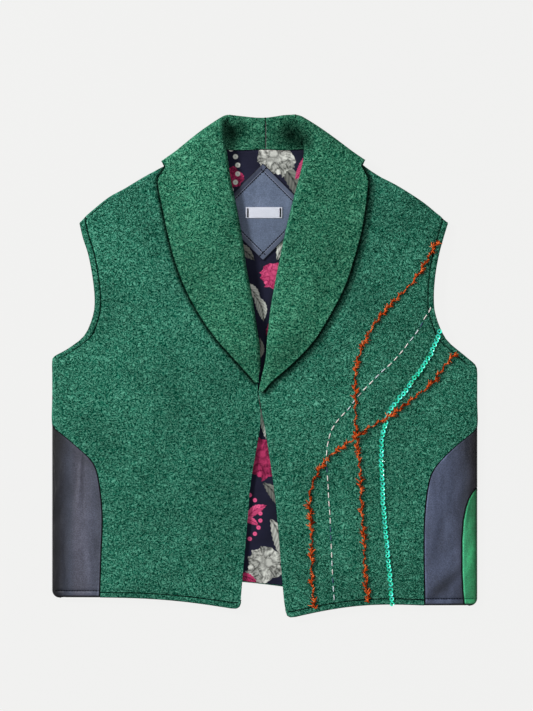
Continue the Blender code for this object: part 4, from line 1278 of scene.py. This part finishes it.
def margin_marks(tree):
    """Two distances kept in the cloth: from its stitched edge or seam, and from its hem. On the fronts the
    second also falls with the distance out from the collar's edge, and on the collar it is the distance in
    from its outer edge, both for painted shade; on the patch it marks the upper edge, which gets painted
    shade.
    """
    return split(node(tree, "ShaderNodeUVMap", {}, uv_map="margins"))[:2]


def line_mask(distance, middle, half, soft):
    """1 on a line at a distance from an edge, and 0 beside it."""
    return spread(abs(distance - middle * MM), half * MM, (half + soft) * MM, 1.0, 0.0)


def motif(name, inputs=()):
    """A group for one printed motif, with its coordinates moved, turned and scaled."""
    sockets = [
        ("Vector", "Vector", None), ("Centre", "Vector", (0.0, 0.0, 0.0)), ("Size", "Float", 0.02),
        ("Turn", "Float", 0.0), *inputs,
    ]
    tree, (place, centre, size, turn, *more), out = group(name, sockets, ["Mask", "Shade"])
    moved = vector("SUBTRACT", place, centre)
    turned = node(
        tree, "ShaderNodeVectorRotate", {"Vector": moved, "Angle": turn}, rotation_type="Z_AXIS"
    )
    inputs = {0: turned, "Scale": 1.0 / size}
    scaled = node(tree, "ShaderNodeVectorMath", inputs, operation="SCALE")
    x, y = split(scaled)[:2]
    return tree, scaled, x, y, more, out


def printed_bloom():
    """An open round bloom of curled petals."""
    tree, scaled, x, y, _, out = motif("printed bloom")
    radius = maths("SQRT", x * x + y * y)
    angle = maths("ARCTAN2", y, x)
    wobble = noise(scaled, 1.6)
    outline = maths("COSINE", angle * 6.0 + wobble * 9.0) * 0.1 + wobble * 0.7 + 0.5
    bent = vector("MULTIPLY_ADD", noise(scaled, 2.2, 3.0, output="Color"), (0.7, 0.7, 0.7), scaled)
    petal = spread(cells(bent, 2.4, "Distance", "DISTANCE_TO_EDGE"), 0.0, 0.28)
    tone = node(tree, "ShaderNodeSeparateColor", {0: cells(bent, 2.4, "Color", "F1")})
    folds = maths("SINE", angle * 26.0 + wobble * 30.0) * spread(radius, 0.1, 0.9, 0.02, 0.14)
    lit = petal * 0.42 + tone * 0.5 + folds
    feed(tree, out, {"Mask": spread(outline - radius, -0.015, 0.015), "Shade": lit})
    return tree


def printed_leaf():
    """A pointed leaf with a middle vein."""
    tree, _, x, y, _, out = motif("printed leaf")
    bent = x * x * 0.22 + y
    ragged = maths("SINE", x * 26.0) * 0.02 + (1.0 - x * x) * 0.36
    across = abs(bent)
    veins = maths("SINE", across * -30.0 + x * 22.0)
    lit = veins * 0.14 + spread(across, 0.0, 0.09, 0.1, 0.55) + bent * 0.6
    feed(tree, out, {"Mask": spread(ragged - across, -0.015, 0.015), "Shade": lit})
    return tree


def printed_dots():
    """Round dots on an arc."""
    tree, _, x, y, (count,), out = motif("printed dots", [("Count", "Float", 24.0)])
    turns = maths("ARCTAN2", y, x) / (2 * math.pi)
    step = 2 * math.pi / count
    down = (maths("FRACT", turns * count) - 0.5) * step
    over = maths("SQRT", x * x + y * y) - 1.0
    share = maths("SQRT", down * down + over * over) / step
    mask = spread(share, 0.26, 0.32, 1.0, 0.0) * spread(abs(turns), 0.19, 0.2, 1.0, 0.0)
    feed(tree, out, {"Mask": mask, "Shade": spread(share, 0.05, 0.14, 0.55, 1.0)})
    return tree


def wool_finish(name, tones, hollow_shade=()):
    """Felted wool, with painted shade in its stitched groove, at its edges, beside the collar and on the
    collar's rim. Hollow shade is painted shade in hollows: places, sizes and depths, in millimetres.
    """
    made, place = surface(name)
    fleck, height = put(fibres, {"Vector": place})
    edge, hem = margin_marks(made.node_tree)
    # Painted shade: darker in the groove beside the margin's stitches and at the stitched edge, and,
    # through the second mark, at the hem's edge, beside the collar and on the collar's outer rim
    level = (
        spread(noise(place, 120.0, 2.0, 0.6), 0.28, 0.72, 0.88, 1.1)
        * spread(noise(place, 13.0), 0.3, 0.7, 0.84, 1.12)
        * spread(line_mask(edge, STITCH_IN - 0.9, 0.5, 1.0), 0.0, 1.0, 1.0, 0.12)
        * spread(hem, 0.0, 0.0022, 0.07, 1.0)
        * spread(spread(edge, 0.0, 0.0022, 1.0, 0.0), 0.0, 1.0, 1.0, 0.6)
    )
    # Painted shade in the hollows
    for x, y, size, depth in hollow_shade:
        centre = (x * MM, (y - MIDDLE.y) * MM, 0.0)
        away = vector("DISTANCE", flattened(place), centre, output="Value")
        level = level * spread(away, 0.0, size * MM, depth, 1.0)
    flecked = ramp(fleck, *zip((0.0, 0.22, 0.5, 0.78, 1.0), tones))
    return paint(made, dim(flecked, level), 1.0, 0.0, height, 0.0014)


def leather_finish(name, roughness, tones, fold_light_and_shade):
    """Leather. Tones are colours by distance from the garment's middle line, in millimetres, darker
    towards the side fold as painted shade.
    Fold light and shade are soft folds painted as highlights and shadows: place, turn, half length, half
    width, and how light the leather is painted there."""
    made, place = surface(name)
    pores, height, wear, creases = put(grain, {"Vector": place})
    # Tones darken towards the side fold: painted shade where the leather turns from the light
    low, high = tones[0][0], tones[-1][0]
    across = spread(abs(split(place)[0]), low * MM, high * MM, ends="LINEAR")
    base = ramp(across, *(((x - low) / (high - low), tone) for x, tone in tones))
    level = (
        spread(wear, 0.3, 0.7, 0.84, 1.14)
        * spread(pores, 0.0, 1.0, 0.7, 1.05)
        * spread(noise(place, 620.0, 2.0, 0.7), 0.3, 0.7, 0.78, 1.22)
        * spread(creases, 0.3, 0.7, 0.8, 1.18)
    )
    # Soft folds, painted only as highlights and shadows
    for x, y, turn, long, wide, light in fold_light_and_shade:
        centre = (x * MM, (y - MIDDLE.y) * MM, 0.0)
        within = mapped(place, centre, turn, (long * MM, wide * MM, 1.0), "TEXTURE")
        level = level * spread(vector("LENGTH", within, output="Value"), 0.0, 1.0, light, 1.0)
    seam, hem = margin_marks(made.node_tree)
    # Painted shade in the groove of the hem stitches, a painted highlight on the turned hem below them and
    # along the seam's edge, near black along the hem's edge, and slightly darker from 120 mm above the hem
    # up
    glint = spread(noise(place, 22.0, 1.0), 0.35, 0.65, 1.15, 1.75)
    level = (
        level
        * spread(hem, 0.0012, 0.0028, 0.08, 1.0)
        * spread(line_mask(hem, 4.6, 1.2, 1.6), 0.0, 1.0, 1.0, 1.3)
        * spread(hem, 0.12, 0.21, 1.0, 0.84)
        * spread(line_mask(hem, STITCH_IN, 0.5, 0.8), 0.0, 1.0, 1.0, 0.72)
        * spread(line_mask(seam, 2.7, 0.2, 0.6), 0.0, 1.0, 1.0, glint)
    )
    # Painted shade in the seam beside the wool: near black within 1.6 mm of the seam
    toned = blend(spread(seam, 0.0016, 0.0022, 1.0, 0.0), dim(base, level), shade(5, 7, 9))
    dull = spread(wear, 0.3, 0.7, roughness - 0.06, roughness + 0.08)
    dull = maths("MAXIMUM", dull, spread(seam, 0.002, 0.003, 1.0, 0.0))
    return paint(made, toned, dull, 0.3, height, 0.0012, 0.8)


def thread_finish(name, dark, light, roughness=0.8, scale=700.0):
    """Twisted thread or yarn."""
    made, place = surface(name)
    twist = noise(place, scale, 2.0, 0.6)
    return paint(made, ramp(twist, (0.35, dark), (0.65, light)), roughness, 0.0, twist, 0.0003)


def sequin_finish():
    made, place = surface("turquoise sequins")
    tones = (0.3, (8, 96, 66)), (0.4, (16, 196, 140)), (0.48, (40, 252, 206)), (0.64, (96, 255, 246))
    return paint(made, ramp(noise(place, 260.0, 2.0, 0.7), *tones), 0.25, 0.5, coat=0.4)


def lining_finish():
    """Smooth cloth printed with blooms, leaves and dots on navy."""
    made, place = surface("printed navy lining")
    kinds = {"bloom": printed_bloom(), "leaf": printed_leaf(), "dots": printed_dots()}
    ground = ramp(noise(place, 30.0), (0.3, (23, 24, 42)), (0.7, (33, 34, 56)))
    across = flattened(place)
    for kind, x, y, size, turn, (dark, light) in PRINT:
        centre = (x * MM, (y - MIDDLE.y) * MM, 0.0)
        inputs = {"Vector": across, "Centre": centre, "Size": size * MM, "Turn": math.radians(turn)}
        mask, lit = put(kinds[kind], inputs)
        ground = blend(mask, ground, ramp(lit, (0.0, dark), (0.8, light)))
    return paint(made, ground, 0.7, 0.12, weave(place, 600.0, 0.5), 0.0001)


def patch_finish():
    """Slate blue leather with its turned border, darker where the border leans from the light."""
    made, place = surface("slate blue patch leather")
    pores, height, wear, creases = put(grain, {"Vector": place})
    level = (
        spread(pores, 0.0, 1.0, 0.74, 1.04)
        * spread(noise(place, 560.0, 2.0, 0.7), 0.3, 0.7, 0.86, 1.14)
        * spread(creases, 0.3, 0.7, 0.93, 1.07)
    )
    toned = dim(ramp(wear, (0.25, (92, 104, 128)), (0.5, (104, 118, 143)), (0.8, (118, 131, 156))), level)
    # corner marks the upper edge. The turned border is darker, and darkest on the upper edge, as painted
    # shade; a painted highlight lies on the ridge inside the stitches
    edges, corner = margin_marks(made.node_tree)
    border_shade = spread(edges - PATCH_STITCH_IN * MM, -0.0004, 0.0003, 1.0, 0.0) * 0.85
    toned = blend(border_shade, toned, blend(corner, shade(82, 90, 110), shade(44, 48, 66)))
    ridge_highlight = line_mask(edges, PATCH_STITCH_IN - 1.1, 0.3, 0.5) * 0.3
    toned = blend(ridge_highlight, toned, shade(150, 158, 180))
    toned = blend(spread(edges, 0.0002, 0.0012, 1.0, 0.0), toned, shade(12, 13, 20))
    return paint(made, toned, 0.5, 0.25, height, 0.0005, 0.6)


def label_finish():
    made, place = surface("white woven tape")
    woven = weave(place, 420.0, 0.3) * weave(place, 420.0, 0.3, "Y")
    tones = ramp(woven, (0.0, (214, 218, 232)), (0.7, (246, 247, 255)))
    return paint(made, tones, 0.7, 0.5, woven, 0.0002)


# Pieces


def finish_piece(piece, replaces=None):
    bpy.context.scene.collection.objects.link(piece)
    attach(piece, "root")
    if replaces:
        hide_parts(replaces)
    return piece


def cloth(name, rows, thickness, finish, replaces, rounding, marks=None):
    """A wall of cloth made from a grid of middle points, with its distances from edges kept."""
    columns = len(rows[0])
    mesh = bmesh.new()
    bmesh.ops.create_grid(mesh, x_segments=columns - 1, y_segments=len(rows) - 1, size=1.0)
    mesh.verts.ensure_lookup_table()
    kept = mesh.loops.layers.uv.new("margins")
    for index, vert in enumerate(mesh.verts):
        row, column = divmod(index, columns)
        vert.co = (Vector(rows[row][column]) - MIDDLE) * MM
        mark = marks[row][column] if marks else (FAR, FAR)
        for loop in vert.link_loops:
            loop[kept].uv = (mark[0] * MM, mark[1] * MM)
    piece = walled(name, mesh, finish, thickness)
    piece.data.shade_smooth()
    piece.modifiers["wall"].use_quality_normals = True
    edge = piece.modifiers.new("edge", "BEVEL")
    edge.width = rounding * MM
    edge.segments = 3
    edge.limit_method = "ANGLE"
    edge.angle_limit = math.radians(50)
    edge.harden_normals = False
    return finish_piece(piece, replaces)


def walled(name, mesh, finish, thickness):
    """A piece with a wall grown evenly to both sides of a mesh."""
    data = bpy.data.meshes.new(name)
    mesh.to_mesh(data)
    mesh.free()
    data.materials.append(finish)
    piece = bpy.data.objects.new(name, data)
    wall = piece.modifiers.new("wall", "SOLIDIFY")
    wall.thickness = thickness * MM
    wall.offset = 0.0
    return piece


def surface_under(piece):
    """A function that gives the height of a piece's upper surface at a place, or None beside it."""
    bpy.context.view_layer.update()
    tree = BVHTree.FromObject(piece, bpy.context.evaluated_depsgraph_get())

    def height(x, y):
        above = Vector((x, y, ABOVE)) - MIDDLE
        place = tree.ray_cast(above * MM, Vector((0, 0, -1)))[0]
        return place.z / MM if place else None

    return height


def strands(name, lines, finishes, replaces=None):
    """Threads joined in one piece. Each line holds its points, their radii and its finish."""
    curve = bpy.data.curves.new(name, "CURVE")
    curve.dimensions = "3D"
    curve.bevel_depth = MM
    curve.bevel_resolution = 1
    curve.use_fill_caps = True
    for finish in finishes:
        curve.materials.append(finish)
    for points, radii, number in lines:
        spline = curve.splines.new("POLY")
        spline.points.add(len(points) - 1)
        spline.material_index = number
        for knot, point, radius in zip(spline.points, points, radii):
            knot.co = (*((Vector(point) - MIDDLE) * MM), 1.0)
            knot.radius = radius
    drawn = bpy.data.objects.new(name + "_line", curve)
    bpy.context.scene.collection.objects.link(drawn)
    bpy.context.view_layer.update()
    data = bpy.data.meshes.new_from_object(drawn.evaluated_get(bpy.context.evaluated_depsgraph_get()))
    bpy.data.objects.remove(drawn, do_unlink=True)
    data.name = name
    data.shade_smooth()
    return finish_piece(bpy.data.objects.new(name, data), replaces)


def along(points, step):
    """Places one step apart on a line of points, with the direction there."""
    made = []
    left = 0.0
    for start, end in zip(points, points[1:]):
        length = (end - start).length
        while left <= length and length > 0:
            made.append((start + (end - start) * (left / length), (end - start) / length))
            left += step
        left -= length
    return made


def along_table(places, between, step):
    """Places one step apart on the smooth curve through a table."""
    return along([Vector((*spot, 0.0)) for spot in outline_of(places, between)], step)


def stitches(path, height, pitch, length, radius, rise, number=0):
    """Short stitches laid on a surface along a path."""
    lines = []
    for place, run in along(path, pitch):
        spots = [place - run * length / 2, place, place + run * length / 2]
        levels = [height(spot.x, spot.y) for spot in spots]
        if None not in levels:
            lifts = (-0.1, rise, -0.1)
            points = [(*spot.xy, level + add) for spot, level, add in zip(spots, levels, lifts)]
            lines.append((points, (radius * 0.8, radius, radius * 0.8), number))
    return lines


def level_path(*points):
    return [Vector((x, y, 0.0)) for x, y, *_ in points]


def leather_piece(name, rows, finish, node_name, hem_y):
    """Leather, with its distances from its seam and from its hem."""
    marks = [[(way, point[1] - hem_y) for way, point in zip(ways_along(row), row)] for row in rows]
    return cloth(name, rows, LEATHER, finish, node_name, 0.7, marks)


def hem_path(side, start_x, end_x):
    low = FRONT_ROWS[side][0].side_y + STITCH_IN
    return level_path((start_x, low), (end_x, low))


# The garment

random.seed(4)
WOOL_NAME = "green felted wool"
fibres = felted_fibres()
grain = leather_grain()
wool_front = wool_finish(
    WOOL_NAME, ((0, 31, 22), (8, 65, 49), (25, 97, 76), (49, 126, 102), (100, 172, 146))
)
# The collar's wool, with painted shade in the hollows of the stand
wool_collar = wool_finish(
    WOOL_NAME + " of the collar",
    ((1, 32, 21), (11, 68, 49), (28, 100, 76), (53, 129, 99), (103, 176, 142)),
    ((-37, 281, 27, 0.14), (31, 278, 30, 0.1), (45, 268, 22, 0.25), (0, 278, 60, 0.8)),
)
# Each leather is darker towards the side fold, as painted shade where it turns from the light, and its
# soft folds are painted highlights and shadows
navy_leather = leather_finish(
    "navy leather of the right side", 0.45,
    (
        (196, (82, 87, 103)), (205, (78, 82, 98)), (215, (88, 90, 106)), (226, (90, 91, 106)),
        (233, (68, 73, 88)), (241, (46, 49, 61)), (248, (28, 29, 36)), (254.7, (14, 12, 15)),
    ),
    (
        (-212, -98, -38, 34, 12, 1.45), (-208, -116, -38, 30, 10, 0.7),
        (-211, -190, 88, 80, 20, 1.15), (-238, -92, -38, 34, 18, 0.7),
    ),
)
strip_leather = leather_finish(
    "navy leather of the left side", 0.45,
    (
        (190, (90, 99, 126)), (204, (86, 95, 121)), (220, (82, 91, 116)), (231, (73, 80, 102)),
        (240, (50, 55, 70)), (248, (36, 36, 46)), (254.7, (18, 16, 20)),
    ),
    (
        (214, -262, 42, 60, 11, 0.4), (205, -246, 42, 60, 16, 1.4), (226, -104, 48, 50, 20, 1.4),
        (222, -150, 70, 50, 20, 1.12), (243, -128, 62, 40, 12, 1.7), (252, -104, 84, 36, 9, 0.4),
    ),
)
green_leather = leather_finish(
    "green leather", 0.42,
    (
        (236, (74, 182, 132)), (240, (62, 170, 118)), (245, (52, 158, 104)), (250, (42, 140, 88)),
        (254.7, (24, 84, 52)),
    ),
    ((243, -196, 66, 36, 6, 1.35), (245, -226, 76, 32, 6, 1.35)),
)
green_thread = thread_finish("green sewing thread", (14, 60, 46), (40, 100, 80))
black_thread_and_shade = thread_finish("black sewing thread and painted shade", (4, 4, 7), (16, 16, 22))
seam_shade_strand = thread_finish("shadowed green seam", (4, 22, 14), (10, 40, 28))

lining = cloth(
    "printed_back_lining", lining_points(), LINING, lining_finish(),
    "back_lining", 0.3,
)
back = cloth("wool_back", back_points(), WOOL, wool_front, "back", 1.1)
points, fronts, collars = {}, {}, {}
for side, name in SIDE_NAMES.items():
    points[side], marks = front_points(side)
    fronts[side] = cloth(
        "wool_front_" + name, points[side], WOOL, wool_front, "front_" + name, 1.1, marks
    )
for side, name in SIDE_NAMES.items():
    leaf = collar_points(side)
    # The second mark is the distance in from the collar's outer edge, where the collar's rim gets painted
    # shade
    marks = [[(FAR, 0.6 + way) for way in ways_along(row)] for row in leaf]
    collars[side] = cloth(
        "wool_collar_" + name, leaf, COLLAR, wool_collar, "collar_" + name, 1.9, marks
    )


rows, stations, hem_y = leather_rows(RIGHT)
leather = wrapped_points(RIGHT, rows, lambda y: seam_x(stations, y), hem_y)
side_right = leather_piece(
    "leather_side_right", leather, navy_leather, "leather_right_side", hem_y
)
extra = [seam.y for seam in GREEN_SEAM] + [GREEN_TOP + FOLD_RUN * 0.75]
rows, stations, hem_y = leather_rows(LEFT, extra)
strips = []
for layer in ("front", "back"):
    leather = strip_points(
        LEFT, rows, lambda y: seam_x(stations, y), lambda y: seam_x(GREEN_SEAM, y), hem_y,
        layer == "front",
    )
    strips.append(
        leather_piece(
            "leather_strip_" + layer, leather, strip_leather, "leather_left_" + layer,
            hem_y,
        )
    )
top = GREEN_TOP - 1.0
rows = [y for y in rows if y < top] + [top]
leather = wrapped_points(LEFT, rows, lambda y: seam_x(GREEN_SEAM, y), hem_y)
side_left = leather_piece(
    "leather_fold_left", leather, green_leather, "leather_left_fold", hem_y
)

patch = cloth(
    "leather_neck_patch", patch_points(surface_under(lining)), PATCH, patch_finish(),
    "neck_patch", 0.5, patch_marks(),
)
label = cloth(
    "woven_tape_label", label_points(surface_under(patch)), LABEL, label_finish(),
    "woven_label", 0.25,
)

# Topstitching

hem_places = row_places()
stitch_row = min(range(len(hem_places)), key=lambda i: abs(hem_places[i] - STITCH_IN / HEM_STEP))
stitch_column = len(FRONT_PARTS) + len(SIDE_MARGIN) - 1 - SIDE_MARGIN.index(STITCH_IN)
for side, name in SIDE_NAMES.items():
    over = surface_under(fronts[side])
    armhole = [
        row[stitch_column]
        for place, row in zip(hem_places, points[side])
        if front_row(side, place).stitched > 0.4
    ]
    lines = stitches(level_path(*armhole), over, *ARMHOLE_STITCH)
    hem = points[side][stitch_row][4 : stitch_column + 1]
    lines += stitches(level_path(*hem), over, *HEM_STITCH)
    strands("topstitch_" + name, lines, [green_thread])


lines = []
for piece, path in (
    (side_right, hem_path(RIGHT, -SIDE_X + 5, -198.5)), (strips[0], hem_path(LEFT, 192.0, 236.5)),
):
    lines += stitches(path, surface_under(piece), *LEATHER_STITCH)
strands("leather_hem_stitches", lines, [black_thread_and_shade])
lines = stitches(hem_path(LEFT, 239.0, 251.0), surface_under(side_left), *GREEN_STITCH)
strands("green_hem_stitches", lines, [green_thread])

over = surface_under(patch)
half = PATCH_SIDE / 2
lines = []
for turn in range(4):
    ends = level_path((1.0 - half, half - PATCH_STITCH_IN), (half - 1.0, half - PATCH_STITCH_IN))
    for spot in ends:
        spot.rotate(Matrix.Rotation(math.radians(45 + 90 * turn), 3, "Z"))
        spot += Vector((PATCH_X, PATCH_Y, 0.0))
    lines += stitches(ends, over, *PATCH_STITCH)
strands("patch_topstitch", lines, [black_thread_and_shade])

over = surface_under(label)
lines = []
for x in (LABEL_X - LABEL_LONG / 2 + 2.3, LABEL_X + LABEL_LONG / 2 - 2.3):
    path = level_path((x, LABEL_Y - 4.6), (x, LABEL_Y + 4.6))
    lines += stitches(path, over, *LABEL_STITCH)
strands("label_end_stitches", lines, [black_thread_and_shade])

# A dark strand drawn into the seam between the two halves of the collar: painted shade in the seam
over = surface_under(collars[LEFT])
line = [(0.6, y, over(3.2, y) - 0.1) for y in range(260, 301, 2) if over(3.2, y)]
strands("collar_seam", [(line, [0.8] * len(line), 0)], [seam_shade_strand])

# Black strands over the ends of the side seams, painted shade at the notch where the pieces meet: how far
# in from the side, how far up, and the height
SEAM_END = ((1.6, -4.0, 4.6), (1.6, 0.0, 4.6), (1.6, 4.0, 4.6))
SLANTED_END = ((5.0, -5.0, 6.6), (2.9, -0.6, 5.8), (1.2, 2.5, 4.6))
lines = []
for side, top, path in (
    (RIGHT, -69.5, SEAM_END), (LEFT, -71.5, SEAM_END),
    (LEFT, GREEN_TOP - 1.5, SEAM_END), (LEFT, GREEN_TOP, SLANTED_END),
):
    lines.append(([(side * (SIDE_X - x), top + y, z) for x, y, z in path], (1.0, 1.7, 1.0), 0))
strands("seam_end_shade", lines, [black_thread_and_shade])

# Embroidery on the left front

over = surface_under(fronts[LEFT])
stitch_threads = [
    thread_finish("pale rose thread", (228, 216, 210), (255, 252, 248)),
    thread_finish("pale grey thread", (190, 202, 212), (240, 246, 248)),
    thread_finish("grey blue thread", (40, 56, 92), (92, 106, 140)),
]
lines = []
for place, run in along_table(RUNNING_STITCH, 6.0, LONG_PITCH):
    shown = random.choice((0, 0, 0, 1, 1, 2))
    lines += stitches([place, place + run * 0.1], over, *LONG_STITCH, shown)
strands("running_stitch", lines, stitch_threads)

mesh = bmesh.new()
lines = []
for place, run in along_table(SEQUIN_LINE, 6.0, SEQUIN_PITCH):
    place = place + run * random.uniform(-0.7, 0.7)
    place += Vector((-run.y, run.x, 0.0)) * random.uniform(-0.5, 0.5)
    level = over(place.x, place.y)
    tilt = Matrix.Rotation(random.uniform(-0.22, 0.22), 4, "X")
    tilt = tilt @ Matrix.Rotation(random.uniform(-0.22, 0.22), 4, "Y")
    centre = (Vector((place.x, place.y, level + 1.0)) - MIDDLE) * MM
    for low, inner_radius, outer_radius, depth in SEQUIN_CUP:
        bmesh.ops.create_cone(
            mesh, cap_ends=False, segments=14, radius1=inner_radius * MM, radius2=outer_radius * MM,
            depth=depth * MM,
            matrix=Matrix.Translation(centre) @ tilt @ Matrix.Translation((0, 0, (low + depth / 2) * MM)),
        )
    thread = [(*(place + run * way).xy, level + up) for way, up in ((0, 0.9), (1.4, 1.35), (2.8, 0.6))]
    lines.append((thread, (0.5, 0.22, 0.22), 0))
bmesh.ops.remove_doubles(mesh, verts=mesh.verts, dist=0.00002)
finish_piece(walled("sequins", mesh, sequin_finish(), 0.18))
strands("sequin_threads", lines, [green_thread])

yarn_finishes = [
    thread_finish("dark orange yarn", (84, 24, 8), (132, 44, 16), 0.9, 400.0),
    thread_finish("orange yarn", (190, 66, 20), (226, 98, 40), 0.9, 400.0),
    thread_finish("light orange yarn", (232, 106, 50), (255, 144, 84), 0.9, 400.0),
]


def brushed_end(spot, level, sideways, run, swing, full):
    """One loose end of the yarn, brushed out of it."""
    way = random.choice((-1, 1)) if random.random() < 0.4 else (1 if swing > 0 else -1)
    slant = random.gauss(0.75, 0.4)
    reach = random.uniform(2.2, 4.2) * (0.75 + 0.85 * full) * (1.5 if random.random() < 0.12 else 1.0)
    out = sideways * way * math.sin(slant) - run * math.cos(slant)
    curl = Vector((-out.y, out.x, 0.0)) * random.uniform(-0.9, 0.9)
    start = Vector((spot.x, spot.y, level + 0.9)) - out * 1.1
    rise = random.uniform(1.0, 2.4)
    tip = random.uniform(-0.4, 0.6)
    bends = ((0.0, 0.0, 0.0), (0.35, 0.3, rise), (0.72, 0.8, rise * 0.8), (1.0, 1.5, tip))
    points = [start + out * reach * far + curl * bent + Vector((0, 0, up)) for far, bent, up in bends]
    thick = random.uniform(0.38, 0.6)
    radii = (thick, thick, thick * 0.85, thick * 0.4)
    return [tuple(point) for point in points], radii, random.choice((0, 0, 1, 1, 1, 2))


def tufted_yarn(layer, crosses):
    """A soft yarn couched down in a wavering line, with its loose ends brushed out of it in tufts."""
    core, radii, lines = [], [], []
    for index, (place, run) in enumerate(along_table(YARN_LINES["couched_yarn_" + layer], 5.0, YARN_STEP)):
        sideways = Vector((-run.y, run.x, 0.0))
        swing = math.sin(index * 0.62 + 1.6 * math.sin(index * 0.083))
        spot = place + sideways * (1.1 * swing)
        away = math.hypot(place.x - YARN_CROSS.x, place.y - YARN_CROSS.y)
        level = over(spot.x, spot.y)
        if level is None:
            continue
        level += YARN_RISE * (1 - ease(away / CROSSING)) if crosses else 0.0
        full = 0.5 + 0.5 * math.sin(index * 0.19 + 2.2 * math.sin(index * 0.047))
        core.append((spot.x, spot.y, level + 0.8 + 0.25 * math.sin(index * 1.5)))
        radii.append(0.55 + 0.45 * full)
        for _ in range(1 + (random.random() < 1.2 * full) + (random.random() < 0.5 * full)):
            lines.append(brushed_end(spot, level, sideways, run, swing, full))
    lines.append((core, radii, 0))
    strands("tufted_yarn_" + layer, lines, yarn_finishes, "couched_yarn_" + layer)


tufted_yarn("upper", False)
tufted_yarn("lower", True)

# The flat cut of each piece in metres, its area where it isn't near a rectangle, and what it lies on

for piece, flat, area, rests in (
    (back, (0.51, 0.555), None, None),
    (lining, (0.5, 0.547), None, [back]),
    (fronts[RIGHT], (0.27, 0.565), 0.101, [lining]),
    (fronts[LEFT], (0.27, 0.575), 0.104, [lining]),
    (collars[RIGHT], (0.125, 0.47), 0.038, [fronts[RIGHT]]),
    (collars[LEFT], (0.125, 0.47), 0.038, [fronts[LEFT]]),
    (side_right, (0.125, 0.21), 0.022, [lining]),
    (strips[0], (0.066, 0.21), None, [lining]),
    (strips[1], (0.066, 0.21), None, [back]),
    (side_left, (0.044, 0.14), None, [lining]),
    (patch, (0.082, 0.082), None, [lining]),
    (label, (0.0435, 0.013), None, [patch]),
):
    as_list(rests or [])

# Floor, light and camera

bpy.ops.mesh.primitive_plane_add(size=8.0, location=(0, 0, 0))
floor = bpy.context.object
floor.name = "floor"
pale, _ = surface("pale floor")
paint(pale, shade(40, 40, 40), 1.0, 0.0)
shader = pale.node_tree.nodes["Principled BSDF"]
shader.inputs["Emission Color"].default_value = shade(240, 240, 239)
shader.inputs["Emission Strength"].default_value = 0.985
floor.data.materials.append(pale)

world = bpy.data.worlds.new("studio")
world.use_nodes = True
world.node_tree.nodes["Background"].inputs["Color"].default_value = (1, 1, 1, 1)
world.node_tree.nodes["Background"].inputs["Strength"].default_value = 0.18
scene = bpy.context.scene
scene.world = world

for name, place, size, power in (
    ("key", (-2.0, 1.2, 1.5), 0.5, 82.0),
    ("fill", (0.5, -0.6, 2.6), 1.4, 16.0),
):
    lamp = bpy.data.lights.new(name, "AREA")
    lamp.size = size
    lamp.energy = power
    light = bpy.data.objects.new(name, lamp)
    light.location = place
    light.rotation_euler = (-Vector(place)).to_track_quat("-Z", "Y").to_euler()
    scene.collection.objects.link(light)

lens = bpy.data.cameras.new("camera")
lens.sensor_width = 36.0
lens.lens = 36.0 * CAMERA_HIGH / FIELD_TALL
camera = bpy.data.objects.new("camera", lens)
camera.location = (0.0021, 0.0135 - MIDDLE.y * MM, CAMERA_HIGH)
scene.collection.objects.link(camera)
scene.camera = camera
scene.view_settings.view_transform = "Standard"

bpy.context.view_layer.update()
